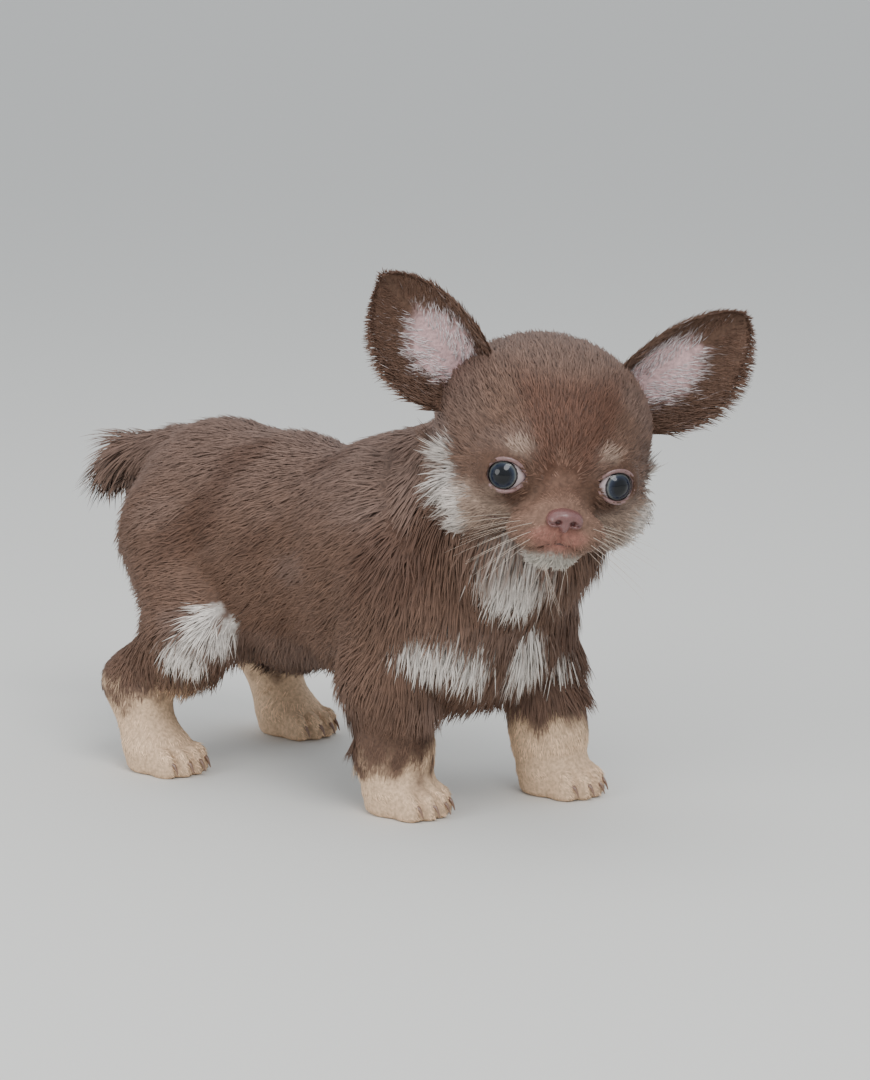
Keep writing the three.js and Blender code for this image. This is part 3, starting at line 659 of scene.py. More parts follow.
def hair_grain_group():
    """Fine light and dark strands over a base colour, and a height for a bump."""
    tree = bpy.data.node_groups.new("strand_grain", "ShaderNodeTree")
    into, out = add_sockets(tree, (
        ("Base", "INPUT", "Color"), ("Size", "INPUT", "Float"), ("Contrast", "INPUT", "Float"),
        ("Colour", "OUTPUT", "Color"), ("Height", "OUTPUT", "Float"),
    ))
    place = tree.nodes.new("ShaderNodeTexCoord")
    noise = tree.nodes.new("ShaderNodeTexNoise")
    set_inputs(noise, {"Detail": 3})
    tree.links.new(place.outputs["Object"], noise.inputs["Vector"])
    tree.links.new(into.outputs["Size"], noise.inputs["Scale"])
    spread = tree.nodes.new("ShaderNodeMapRange")
    set_inputs(spread, {"From Min": 0.3, "From Max": 0.7, "To Min": -1, "To Max": 1})
    tree.links.new(noise.outputs["Fac"], spread.inputs["Value"])
    scaled = tree.nodes.new("ShaderNodeMath")
    scaled.operation = "MULTIPLY_ADD"
    scaled.inputs[2].default_value = 1
    tree.links.new(spread.outputs["Result"], scaled.inputs[0])
    tree.links.new(into.outputs["Contrast"], scaled.inputs[1])
    shaded = tree.nodes.new("ShaderNodeVectorMath")
    shaded.operation = "SCALE"
    tree.links.new(into.outputs["Base"], shaded.inputs[0])
    tree.links.new(scaled.outputs[0], shaded.inputs["Scale"])
    tree.links.new(shaded.outputs[0], out.inputs["Colour"])
    tree.links.new(noise.outputs["Fac"], out.inputs["Height"])
    return tree


grain = hair_grain_group()


def add_grain(nodes, links, surface, size, contrast, bump, distance):
    """Strands for the base colour of a shader, with a bump where one is asked for."""
    strands = nodes.new("ShaderNodeGroup")
    strands.node_tree = grain
    set_inputs(strands, {"Size": size, "Contrast": contrast})
    links.new(strands.outputs["Colour"], surface.inputs["Base Color"])
    if bump:
        relief = nodes.new("ShaderNodeBump")
        set_inputs(relief, {"Strength": bump, "Distance": distance})
        links.new(strands.outputs["Height"], relief.inputs["Height"])
        links.new(relief.outputs["Normal"], surface.inputs["Normal"])
    return strands


COAT_RELIEF = 0.0006
LEATHER_RELIEF = 0.0003


def coat_material(name, size, contrast, roughness, bump):
    """A dull finish in the colours that are stored at the points of a piece."""
    made, nodes, links, surface = material_with(name)
    stored = nodes.new("ShaderNodeAttribute")
    stored.attribute_name = "coat_colour"
    strands = add_grain(nodes, links, surface, size, contrast, bump, COAT_RELIEF)
    links.new(stored.outputs["Color"], strands.inputs["Base"])
    set_inputs(surface, {"Roughness": roughness, "Specular IOR Level": 0.25})
    return made


def plain_material(name, colour, roughness, coat=0.0, grain_size=0, contrast=0.12):
    """A finish of one colour, with grain where a size is given for it."""
    made, nodes, links, surface = material_with(name)
    set_inputs(surface, {"Base Color": (*colour, 1), "Roughness": roughness,
                         "Coat Weight": coat, "Coat Roughness": 0.08})
    if grain_size:
        strands = add_grain(nodes, links, surface, grain_size, contrast, 0.5, LEATHER_RELIEF)
        set_inputs(strands, {"Base": (*colour, 1)})
    return made


# the colours stored on the skin are darkened further down as painted shade
skin_material = coat_material("skin_undercoat_and_painted_shade", 900, 0.25, 0.75, 0.6)
tuft_material = coat_material("coat_tufts", 420, 0.16, 0.6, 0)


# The skin: head, body and ears
HEAD_CELL = 1.05
BODY_CELL = 1.75
head_points, head_quads = surface_of(head_skin, [-52, -142, 84], [48, -46, 164], HEAD_CELL)
body_points, body_quads = surface_of(body_skin, [-58, -116, -2.4], [58, 134, 136], BODY_CELL)

# An ear: the middles of its foot and tip in the head's axes, its hollow and its thickness
EAR_BASE = np.array([29.5, 2, 21.0])
EAR_TIP = np.array([58.5, 8, 49.0])
EAR_CUP = 9.0
EAR_WALL = 1.9
EAR_GRID = (44, 30)
EAR_INNER_LAYER = 0.2
EAR_OUTER_LAYER = 0.8


def ear_axes(s):
    turn = np.array([s, 1, 1])
    along = unit((EAR_TIP - EAR_BASE) * turn)
    front = np.array([0.22 * s, 0.97, 0.05])
    face = unit(front - along * (front @ along))
    crown = np.cross(along, face) * s
    return EAR_BASE * turn, along, face, crown


def ear_edges(t):
    """The half widths of an ear towards the crown and away from it."""
    close = np.sqrt(np.maximum(0, 1 - np.maximum(0, t) ** 2.6))
    swell = np.sin(np.pi * np.clip(t * 0.85 + 0.12, 0, 1)) ** 0.6
    return (EAR_WIDTH * 0.43 * close * (0.72 + 0.28 * swell),
            EAR_WIDTH * 0.57 * close * (0.6 + 0.4 * swell))


def ear_points(s, t, v, layer):
    """Points of an ear in the body's axes: t along it, v across it, layer 0 inside to 1 outside."""
    base, along, face, crown = ear_axes(s)
    crown_half, outer_half = ear_edges(t)
    across = np.where(v > 0, v * crown_half, v * outer_half)
    up = np.clip(t, 0, 1)
    cup = EAR_CUP * (1 - v * v) * (1 - 0.75 * up)
    thick = EAR_WALL * (1 - 0.55 * v ** 4) * (1 - 0.45 * up ** 3)
    back = cup + layer * thick + 2.2 * up ** 2
    q = base + np.outer(t * EAR_LENGTH, along) + np.outer(across, crown) - np.outer(back, face)
    return from_head(q)


def ear_shell(s):
    """A closed shell of quads for one ear, with its places along and across."""
    rows, columns = EAR_GRID
    t = -0.3 + 1.295 * (np.arange(rows + 1) / rows) ** 0.9
    v = 2 * np.arange(columns + 1) / columns - 1
    tt, vv = [a.ravel() for a in np.meshgrid(t, v, indexing="ij")]
    points = np.concatenate([ear_points(s, tt, vv, EAR_INNER_LAYER),
                             ear_points(s, tt, vv, EAR_OUTER_LAYER)])
    row = columns + 1
    sheet = row * (rows + 1)
    faces = []
    for r in range(rows):
        for c in range(columns):
            a, b = r * row + c, (r + 1) * row + c
            faces.append((a, a + 1, b + 1, b))
            faces.append((sheet + a, sheet + b, sheet + b + 1, sheet + a + 1))
    rim = list(range(columns))
    rim += [r * row + columns for r in range(rows)]
    rim += [rows * row + c for c in range(columns, 0, -1)]
    rim += [r * row for r in range(rows, 0, -1)]
    for a, b in zip(rim, rim[1:] + rim[:1]):
        faces.append((a, sheet + a, sheet + b, b))
    faces = np.array(faces)
    # the inner sheet has to face forwards
    a, b, c = [points[faces[:rows * columns * 2:2, i]] for i in range(3)]
    if (np.cross(b - a, c - a) @ turn_from_head(ear_axes(s)[2])).mean() < 0:
        faces = faces[:, ::-1]
    return points, faces, tt, vv


ear_parts = {s: ear_shell(s) for s in (-1, 1)}
EAR_SKIN = srgb(206, 172, 172)
EAR_PALE = srgb(216, 206, 206)


def bare_ear(points, t, v):
    """How much of the pale hollow of the ear shows, from 0 to 1."""
    d = np.sqrt(((t - 0.2) / 0.38) ** 2 + ((v - 0.08) / 0.62) ** 2)
    return smooth(d + 0.1 * ripple(points, 6, 61), 1.25, 0.65)


def ear_colours(points, tt, vv):
    """Pink and bare inside, brown outside and at the rim."""
    half = len(points) // 2
    inner = mixed(np.tile(CHOCOLATE * 0.8, (half, 1)), EAR_SKIN, bare_ear(points[:half], tt, vv))
    outer = mixed(np.tile(CHOCOLATE, (half, 1)), RED_CHOCOLATE, 0.6 * smooth(tt, 0.3, 0.9))
    return np.concatenate([inner, outer])


# painted shade: the skin and undercoat of the head and body take the coat's colours darkened, for the
# shade deep among the tufts
HEAD_SKIN_SHADE = 0.75
BODY_SKIN_SHADE = 0.68
points = [head_points, body_points]
quads = [head_quads, body_quads + len(head_points)]
colours = [coat_colours(head_points) * HEAD_SKIN_SHADE, coat_colours(body_points) * BODY_SKIN_SHADE]
bare_lips = spot(to_head(head_points), LIP_PLACE, LIP_SIZES, 0.8, 0.15, 25)
colours[0] = mixed(colours[0], LIP_PINK, 0.55 * bare_lips)
offset = len(head_points) + len(body_points)
for ear, faces, tt, vv in ear_parts.values():
    points.append(ear)
    quads.append(faces + offset)
    colours.append(ear_colours(ear, tt, vv))
    offset += len(ear)
skin_points = np.concatenate(points)
skin_quads = np.concatenate(quads)
skin_colours = np.concatenate(colours)
skin = new_piece("skin", skin_points, skin_quads, skin_material,
                 np.column_stack([skin_colours, np.ones(len(skin_colours))]))


def unwrap(piece):
    """Islands of the skin's own shape, so that each root of the coat has a place of its own."""
    piece.data.uv_layers.new(name="OFBake")
    bpy.context.view_layer.objects.active = piece
    piece.select_set(True)
    bpy.ops.object.mode_set(mode="EDIT")
    bpy.ops.mesh.select_all(action="SELECT")
    bpy.ops.uv.smart_project(angle_limit=math.radians(62), island_margin=0.002)
    bpy.ops.object.mode_set(mode="OBJECT")
    piece.select_set(False)
    uv = np.empty(len(piece.data.loops) * 2, np.float32)
    piece.data.uv_layers["OFBake"].data.foreach_get("uv", uv)
    return uv.reshape(-1, 4, 2).mean(1)


face_uv = unwrap(skin)


# Roots of the coat: tufts in a square millimetre of the head, the face, the body and the paws
HEAD_TUFTS = 1.95
FACE_MORE = 0.85
BODY_TUFTS = 1.68
LONG_FEWER = 0.33
PAW_MORE = 0.1


def quad_areas(corners):
    crossed = np.cross(corners[:, 2] - corners[:, 0], corners[:, 3] - corners[:, 1])
    return np.linalg.norm(crossed, axis=1) / 2


def scatter(corners, wanted):
    """Random points on quads: the quad of each and its place, as many as each quad wants."""
    number = np.floor(wanted + dice.random(len(wanted))).astype(int)
    pick = np.repeat(np.arange(len(wanted)), number)
    a, b = dice.random((2, len(pick)))[..., None]
    c = corners[pick]
    return pick, (c[:, 0] * (1 - a) + c[:, 1] * a) * (1 - b) + (c[:, 3] * (1 - a) + c[:, 2] * a) * b


def near_eye_opening(q):
    rim, y = lid_share(q)
    return np.where(y > 0, rim, 9)


def head_density(p):
    q = to_head(p)
    inside_body = body_field(p) < -2
    fine = HEAD_TUFTS + FACE_MORE * smooth(q[:, 1], 6, 20)
    fine = fine * smooth(near_eye_opening(q), 1.12, 1.3)
    nose = np.linalg.norm((q - NOSE_PLACE) / [5.6, 6, 3.6], axis=1)
    fine = fine * smooth(nose, 1.0, 1.15)
    lips = spot(q, LIP_PLACE, LIP_SIZES, 0.8, 0.15, 25)
    return fine * (1 - 0.3 * lips) * ~inside_body


def body_density(p):
    inside_head = head_field(to_head(p)) < -2
    share = long_coat(p)
    long_share = np.max([share[k] for k in LONG_DEPTH], axis=0)
    fine = BODY_TUFTS - LONG_FEWER * long_share + PAW_MORE * smooth(p[:, 2], 26, 12)
    return fine * ~inside_head * (p[:, 2] > 0.6)


# The length and width of the locks where the coat is long
HEAD_LOCKS = (("ruff", 15, 0.7), ("cheek", 13, 0.6))
BODY_LOCKS = (
    ("ruff", 12.5, 0.56), ("bib", 15, 0.6), ("breech", 14, 0.62),
    ("tail", 17, 0.62), ("belly", 13, 0.62), ("elbow", 11, 0.58),
)
SHORTEST = 1.2


def coat_of(points, quads, uv, density, field, on_head):
    """The tufts of the head or of the body: the values that tufts() takes after the bends."""
    corners = points[quads]
    face, p = scatter(corners, quad_areas(corners) * density(corners.mean(1)))
    n = slope(field, p)
    share = long_coat(p)
    q = to_head(p)
    y, z = p[:, 1], p[:, 2]
    lie = coat_lie(p, n, on_head, share)
    vary = dice.uniform(0.75, 1.25, len(p))
    if on_head:
        length = 7.4 - 3.4 * smooth(q[:, 1], 8, 26)
        near_lips = np.linalg.norm(q - LIPS_MIDDLE, axis=1)
        length = np.minimum(length, 2.4 + 3.8 * smooth(near_lips, 10, 22))
        length = length + 3.0 * spot(q, [0, 28, -31], [10, 10, 4], 0.6, 0, 3)
        length = length * (0.45 + 0.55 * smooth(near_eye_opening(q), 1.2, 2.0))
        width = 0.3 + 0.035 * length
        rise = np.radians(17 + 11 * smooth(q[:, 2], 8, 26))
        droop = np.zeros(len(p))
        locks, lock_rise, lock_droop = HEAD_LOCKS, math.radians(26), 0.25
    else:
        length = 4.4 + 4.6 * smooth(z, 22, 56)
        length = length * (0.5 + 0.5 * smooth(z, 4, 14))
        width = 0.3 + 0.017 * length
        rise = np.radians(12 + 7 * smooth(z, 26, 60))
        droop = np.full(len(p), 0.1)
        locks, lock_rise, lock_droop = BODY_LOCKS, math.radians(19), 0.35
    for name, long, wide in locks:
        length = length + (long - length) * share[name]
        width = width + (wide - width) * share[name]
        rise = rise + (lock_rise - rise) * share[name]
        droop = np.maximum(droop, lock_droop * share[name])
    if not on_head:
        # longer in the white of the chest, short at the hocks, and clear of the floor
        length = length * (1 + 0.1 * np.max(patch_shares(p, CHEST_PATCHES), 0))
        length = length * (1 - 0.5 * (smooth(y, 58, 66) * smooth(z, 52, 42)))
        length = np.minimum(length, np.maximum(SHORTEST, z * 0.9))
    spread = 0.08 + 0.09 * on_head * smooth(q[:, 1], 4, 16)
    tone = (1 + dice.normal(0, 1, len(p)) * spread) * (1 + 0.07 * ripple(p, 6, 71))
    colour = coat_colours(p) * tone[:, None]
    rise = rise * dice.uniform(0.6, 1.5, len(p))
    curl = 0.24 - 0.04 * (length > 11)
    root_colour, tip_colour = colour * (0.86 - 0.1 * on_head), colour * 1.16 + 0.008
    return p, n, lie, length * vary, width, rise, droop, curl, root_colour, tip_colour, uv[face]


def ear_coat(s, uv):
    """Short hair on an ear's back, longer at its rims, and fine pale hair inside."""
    ear, faces, tt, vv = ear_parts[s]
    along, face, crown = [turn_from_head(v) for v in ear_axes(s)[1:]]
    corners = ear[faces]
    middle_t = np.concatenate([tt, tt])[faces].mean(1)
    middle_v = np.concatenate([vv, vv])[faces].mean(1)
    normal = unit(np.cross(corners[:, 2] - corners[:, 0], corners[:, 3] - corners[:, 1]))
    inner = (normal @ face > 0.15)
    rim = smooth(np.abs(middle_v), 0.8, 0.96)
    bare = bare_ear(corners.mean(1), middle_t, middle_v)
    wanted = quad_areas(corners) * np.where(inner, 2.6 - 1.7 * bare, 1.7 + 0.8 * rim)
    pick, p = scatter(corners, wanted * (middle_t > -0.12))
    n, inside, v, t = normal[pick], inner[pick], middle_v[pick], middle_t[pick]
    r = rim[pick]
    outwards = np.sign(v)[:, None] * crown
    lie = along + outwards * (0.25 + 1.1 * r[:, None] * (v < 0)[:, None])
    inner_lie = along * 0.75 + outwards * 0.55
    lie = np.where(inside[:, None], inner_lie * (1 - r[:, None]) + lie * r[:, None], lie)
    lie = unit(lie - n * (lie * n).sum(1)[:, None])
    length = np.where(inside, 5.6 - 2.2 * t, 3.2) + r * np.where(v < 0, 3.0, 1.4)
    length = length * dice.uniform(0.7, 1.3, len(p))
    length = np.minimum(length, 2.5 + 9 * np.clip(1.05 - t, 0, 1))
    dark = mixed(np.tile(CHOCOLATE, (len(p), 1)), RED_CHOCOLATE, 0.3 * smooth(t, 0.3, 0.9))
    pale = smooth(bare_ear(p, t, v) + dice.normal(0, 0.16, len(p)), 0.15, 0.85)
    colour = np.where(inside[:, None], mixed(dark * 1.1, EAR_PALE, pale), dark)
    colour = colour * dice.normal(1, 0.1, len(p))[:, None]
    width = np.where(inside, 0.3, 0.36)
    rise = np.radians(np.where(inside, 22, 14)) * dice.uniform(0.6, 1.4, len(p))
    droop, curl = np.zeros(len(p)), np.full(len(p), 0.2)
    return p, n, lie, length, width, rise, droop, curl, colour * 0.85, colour * 1.12 + 0.01, uv[pick]


# The coat grows on the parts of the skin in the order in which they were joined
part_sizes = [len(head_quads), len(body_quads)] + [len(ear_parts[s][1]) for s in (-1, 1)]
head_uv, body_uv, right_ear_uv, left_ear_uv = np.split(face_uv, np.cumsum(part_sizes)[:-1])
grown = [
    coat_of(head_points, head_quads, head_uv, head_density, head_skin, True),
    coat_of(body_points, body_quads, body_uv, body_density, body_skin, False),
    ear_coat(-1, right_ear_uv),
    ear_coat(1, left_ear_uv),
]
tuft_values = [np.concatenate(values) for values in zip(*grown)]
is_ear = np.repeat([False, False, True, True], [len(values[0]) for values in grown])

# The coat, in pieces by place and by kind: the bends and the triangles of a tuft
TRIANGLES_IN_A_PIECE = 185000
LONG_TUFT = 11.5
FLOOR_CLEARANCE = 0.25
REGIONS = ("face", "crown", "neck", "forehand", "barrel", "quarters", "legs", "tail", "ears")
TUFT_KINDS = (("short", SHORT_BENDS, 10), ("long", LONG_BENDS, 16))


def region_of(p, is_ear):
    """The number in REGIONS of the place that each point belongs to."""
    q = to_head(p)
    y, z = p[:, 1], p[:, 2]
    on_head = head_field(q) < 1
    places = (
        ("forehand", y < -30),
        ("quarters", y > 38),
        ("legs", (z < 44) & ((np.abs(y - 54) < 40) | (np.abs(y + 60) < 34))),
        ("neck", (y < -45) & (z > 74)),
        ("tail", y > 91),
        ("crown", on_head),
        ("face", on_head & (q[:, 1] > 10)),
        ("ears", is_ear),
    )
    made = np.full(len(p), REGIONS.index("barrel"))
    for name, chosen in places:
        made[chosen] = REGIONS.index(name)
    return made


coat_pieces = []
roots, tuft_length = tuft_values[0], tuft_values[3]
region = region_of(roots, is_ear)
for number, name in enumerate(REGIONS):
    for kind, bends, triangles in TUFT_KINDS:
        chosen = np.flatnonzero((region == number) & ((tuft_length > LONG_TUFT) == (kind == "long")))
        if not len(chosen):
            continue
        chosen = chosen[np.argsort(roots[chosen, 1], kind="stable")]
        pieces = math.ceil(len(chosen) * triangles / TRIANGLES_IN_A_PIECE)
        for part, group in enumerate(np.array_split(chosen, pieces)):
            verts, faces, shade, patch, lean = tufts(bends, *[a[group] for a in tuft_values])
            verts[:, 2] = np.maximum(verts[:, 2], FLOOR_CLEARANCE)
            label = f"coat_{name}_{kind}" + (f"_{part + 1}" if pieces > 1 else "")
            piece = new_piece(label, verts, faces, tuft_material, shade, patch)
            if name != "ears":
                piece.data.normals_split_custom_set_from_vertices(lean.astype(np.float32))
            coat_pieces.append(piece)


# Swept forms: lids, lips, whiskers and claws follow paths with their own thickness
def swept_tree():
    """Tubes along the edges of a mesh, as thick as the thickness stored at its points."""
    tree = bpy.data.node_groups.new("swept_form", "GeometryNodeTree")
    nodes = tree.nodes
    into, out = add_sockets(tree, (
        ("Geometry", "INPUT", "Geometry"), ("Sides", "INPUT", "Int"),
        ("Finish", "INPUT", "Material"), ("Geometry", "OUTPUT", "Geometry"),
    ))
    path = nodes.new("GeometryNodeMeshToCurve")
    thickness = nodes.new("GeometryNodeInputNamedAttribute")
    thickness.data_type = "FLOAT"
    set_inputs(thickness, {"Name": "thickness"})
    radius = nodes.new("GeometryNodeSetCurveRadius")
    circle = nodes.new("GeometryNodeCurvePrimitiveCircle")
    set_inputs(circle, {"Radius": 1.0})
    sweep = nodes.new("GeometryNodeCurveToMesh")
    set_inputs(sweep, {"Fill Caps": True})
    smooth_shade = nodes.new("GeometryNodeSetShadeSmooth")
    real = nodes.new("GeometryNodeRealizeInstances")
    finish = nodes.new("GeometryNodeSetMaterial")
    for source, output, target, entry in (
        (thickness, "Attribute", sweep, "Scale"),
        (into, "Geometry", path, "Mesh"),
        (path, "Curve", radius, "Curve"),
        (thickness, "Attribute", radius, "Radius"),
        (into, "Sides", circle, "Resolution"),
        (radius, "Curve", sweep, "Curve"),
        (circle, "Curve", sweep, "Profile Curve"),
        (sweep, "Mesh", smooth_shade, "Geometry"),
        (smooth_shade, "Geometry", real, "Geometry"),
        (real, "Geometry", finish, "Geometry"),
        (into, "Finish", finish, "Material"),
        (finish, "Geometry", out, "Geometry"),
    ):
        tree.links.new(source.outputs[output], target.inputs[entry])
    return tree


swept = swept_tree()


def swept_piece(name, paths, material, sides=8, closed=False):
    """One mesh of tubes along paths: each path is (points, radii) in millimetres."""
    verts, edges, radii = [], [], []
    for points, thick in paths:
        first = len(verts)
        verts += list(placed(points))
        radii += [r / 1000 for r in thick]
        edges += [(first + i, first + i + 1) for i in range(len(points) - 1)]
        if closed:
            edges.append((first + len(points) - 1, first))
    mesh = bpy.data.meshes.new(name + "_paths")
    mesh.from_pydata([tuple(v) for v in verts], edges, [])
    stored = mesh.attributes.new("thickness", "FLOAT", "POINT")
    stored.data.foreach_set("value", np.array(radii, np.float32))
    piece = bpy.data.objects.new(name, mesh)
    bpy.context.scene.collection.objects.link(piece)
    modifier = piece.modifiers.new("swept", "NODES")
    modifier.node_group = swept
    settings = {"Sides": sides, "Finish": material}
    for item in swept.interface.items_tree:
        if item.item_type == "SOCKET" and item.in_out == "INPUT" and item.name in settings:
            modifier[item.identifier] = settings[item.name]
    graph = bpy.context.evaluated_depsgraph_get()
    made = bpy.data.meshes.new_from_object(piece.evaluated_get(graph))
    piece.modifiers.remove(modifier)
    piece.data = made
    made.name = name
    if not made.materials:
        made.materials.append(material)
    return piece


lid_material = plain_material("lid_rims", srgb(118, 90, 87), 0.35, 0.25, 1500)
# painted shadow: the dark line just inside the lid rims, the shade the lids cast on the eye
lid_shadow_material = plain_material("lid_painted_shadow", srgb(52, 36, 36), 0.3, 0.5)
lip_material = plain_material("lips", srgb(84, 56, 50), 0.45, 0.1, 1500)
nose_material = plain_material("nose_leather", srgb(108, 71, 68), 0.34, 0.3, 2600, 0.2)
whisker_material = plain_material("whiskers", srgb(190, 175, 160), 0.4)
claw_material = plain_material("claws", srgb(120, 92, 76), 0.35, 0.3)


def on_lids(s, angle, out, spread=1.0):
    """A point over the ball of the eye, at an angle round the opening of the lids."""
    across, forward, up = eye_axes(s)
    c = math.cos(angle)
    x = (EYE_OUTER if c > 0 else EYE_INNER) * c * spread
    z = EYE_HALF_HEIGHT * math.sin(angle) * (1 - 0.45 * max(0, -c) ** 3) * spread
    r = EYE_RADIUS + out
    y = math.sqrt(max(r * r - x * x - z * z, 1))
    return from_head(EYE_PLACE * [s, 1, 1] + across * x * s + forward * y + up * z)


def round_eye(s, out, spread, thick, thicker):
    """A closed path round the opening of an eye, thicker above it than below."""
    angles = np.linspace(0, 2 * math.pi, EYE_PATH_POINTS, endpoint=False)
    return (np.array([on_lids(s, a, out, spread) for a in angles]),
            [thick + thicker * max(0, math.sin(a)) for a in angles])


EYE_PATH_POINTS = 64
rims = [round_eye(s, 0.85, 1.07, 0.62, 0.12) for s in (-1, 1)]
# painted shadow of the lids on the eye: a dark line just inside the rims, thickest under the upper lid
lid_shadow_paths = [round_eye(s, 0.25, 0.98, 0.3, 0.22) for s in (-1, 1)]
lids = swept_piece("lid_rims", rims, lid_material, 10, True)
lid_shadows = swept_piece("lid_painted_shadow", lid_shadow_paths, lid_shadow_material, 8, True)


# Eyeballs, with the pattern of the iris on a map of rings and spokes
EYE_RINGS = 72
EYE_SPOKES = 96
GAZE_OUT = {-1: math.radians(21), 1: math.radians(18)}
GAZE_UP = math.radians(-1)
CORNEA_ANGLE = 0.62


def eyeball(s):
    turn = GAZE_OUT[s] * s
    forward = np.array([math.sin(turn) * math.cos(GAZE_UP), math.cos(turn) * math.cos(GAZE_UP),
                        math.sin(GAZE_UP)])
    side = unit(np.cross(forward, [0, 0, 1.0]))
    up = np.cross(side, forward)
    verts, uvs = [], []
    for ring in range(EYE_RINGS + 1):
        angle = math.pi * (ring / EYE_RINGS) ** 1.25
        bulge = 0.55 * float(smooth(np.array(angle), CORNEA_ANGLE, 0.1))
        r = EYE_RADIUS + bulge
        for spoke in range(EYE_SPOKES):
            turn_round = 2 * math.pi * spoke / EYE_SPOKES
            d = (forward * math.cos(angle)
                 + (side * math.cos(turn_round) + up * math.sin(turn_round)) * math.sin(angle))
            verts.append(EYE_PLACE * [s, 1, 1] + d * r)
            uvs.append((angle / math.pi, spoke / EYE_SPOKES))
    faces = []
    for ring in range(EYE_RINGS):
        for spoke in range(EYE_SPOKES):
            a = ring * EYE_SPOKES + spoke
            b = ring * EYE_SPOKES + (spoke + 1) % EYE_SPOKES
            faces.append((a, b, b + EYE_SPOKES, a + EYE_SPOKES))
    return from_head(np.array(verts)), np.array(faces), np.array(uvs)


def eye_material():
    """A wet iris and pupil, in rings that waver a little, by the map of the eyeball."""
    made, nodes, links, surface = material_with("wet_eye")
    place = nodes.new("ShaderNodeUVMap")
    place.uv_map = "iris"
    parts_of = nodes.new("ShaderNodeSeparateXYZ")
    links.new(place.outputs["UV"], parts_of.inputs[0])
    wobble = nodes.new("ShaderNodeTexNoise")
    wobble.inputs["Scale"].default_value = 38
    wobble.inputs["Detail"].default_value = 4
    stretch = nodes.new("ShaderNodeCombineXYZ")
    slow = nodes.new("ShaderNodeMath")
    slow.operation = "MULTIPLY"
    slow.inputs[1].default_value = 0.9
    links.new(parts_of.outputs["X"], slow.inputs[0])
    links.new(slow.outputs[0], stretch.inputs["X"])
    links.new(parts_of.outputs["Y"], stretch.inputs["Y"])
    links.new(stretch.outputs[0], wobble.inputs["Vector"])
    shift = nodes.new("ShaderNodeMath")
    shift.operation = "MULTIPLY_ADD"
    shift.inputs[1].default_value = 0.02
    links.new(wobble.outputs["Fac"], shift.inputs[0])
    links.new(parts_of.outputs["X"], shift.inputs[2])
    ramp = nodes.new("ShaderNodeValToRGB")
    stops = [
        (0.0, (4, 6, 11)), (0.1, (5, 8, 14)), (0.132, (17, 24, 38)), (0.16, (38, 46, 60)),
        (0.178, (74, 80, 84)), (0.19, (92, 92, 88)), (0.198, (30, 28, 30)),
        (0.214, (20, 18, 20)), (0.226, (172, 158, 158)), (0.3, (190, 168, 168)), (1.0, (180, 120, 116)),
    ]
    while len(ramp.color_ramp.elements) < len(stops):
        ramp.color_ramp.elements.new(0.5)
    for element, (at, colour) in zip(ramp.color_ramp.elements, stops):
        element.position = at
        element.color = (*srgb(*colour), 1)
    links.new(shift.outputs[0], ramp.inputs["Fac"])
    links.new(ramp.outputs["Color"], surface.inputs["Base Color"])
    set_inputs(surface, {"Roughness": 0.2, "Specular IOR Level": 0.1,
                         "Coat Weight": 0.55, "Coat Roughness": 0.02})
    return made


wet_eye = eye_material()
eyes = {}
for s, name in ((-1, "eyeball_right"), (1, "eyeball_left")):
    verts, faces, uvs = eyeball(s)
    eyes[s] = new_piece(name, verts, faces, wet_eye)
    corner_uv = uvs[faces]
    round_eyeball = corner_uv[:, :, 1]
    seam = (round_eyeball.max(1) - round_eyeball.min(1)) > 0.5
    corner_uv[seam, :, 1] = np.where(round_eyeball[seam] < 0.5, round_eyeball[seam] + 1,
                                     round_eyeball[seam])
    layer = eyes[s].data.uv_layers.new(name="iris")
    layer.data.foreach_set("uv", corner_uv.astype(np.float32).ravel())


# Nose leather
def nose_field(p):
    q = to_head(p)
    m = mirrored(q) - NOSE_PLACE
    made = join_all([
        ball(m, [0, 0.1, 0.5], [5.0, 3.9, 2.55]),
        ball(m, [3.5, 0.2, -0.9], [2.25, 3.3, 2.3]),
        ball(m, [0, 0.2, -2.4], [1.5, 3.2, 2.2]),
    ], 1.4)
    hole = join(ball(m, [2.35, 3.5, -1.3], [1.1, 2.3, 0.95]),
                cone(m, [2.8, 3.2, -1.7], [5.0, 2.0, -1.5], 0.68, 0.4), 0.5)
    made = -join(-made, hole, 0.5)
    return -join(-made, cone(m, [0, 4.1, -0.8], [0, 3.4, -4.6], 0.3, 0.35), 0.5)


NOSE_REACH = 9.5
NOSE_CELL = 0.36
nose_middle = from_head(NOSE_PLACE)
nose_points, nose_quads = surface_of(
    nose_field, nose_middle - NOSE_REACH, nose_middle + NOSE_REACH, NOSE_CELL)
nose = new_piece("nose_leather", nose_points, nose_quads, nose_material)


def on_muzzle(place):
    """The skin's surface on the way from inside the muzzle to a place in the head's axes."""
    start = from_head(MUZZLE_INSIDE)
    towards = from_head(place)
    near, far = 0.0, 1.8
    for _ in range(30):
        mid = (near + far) / 2
        inside = head_skin((start + (towards - start) * mid)[None])[0] < 0
        near, far = (mid, far) if inside else (near, mid)
    return start + (towards - start) * near


# Lips, whiskers and claws
LIP_POINTS = 16
LIP_RADIUS = 0.36
LIP_TAPER = 0.22
lip_paths = []
for s in (-1, 1):
    line = np.array([on_muzzle(np.array(c) * [s, 1, 1]) for c in MOUTH_LINE])
    fine = np.linspace(0, 1, LIP_POINTS)
    knots = np.linspace(0, 1, len(line))
    line = np.column_stack([np.interp(fine, knots, line[:, i]) for i in range(3)])
    lip_paths.append((line, list(LIP_RADIUS - LIP_TAPER * fine)))
lips = swept_piece("lips", lip_paths, lip_material, 8)

WHISKER_ROWS = 4
WHISKER_COLUMNS = 5
CHIN_WHISKERS = 7


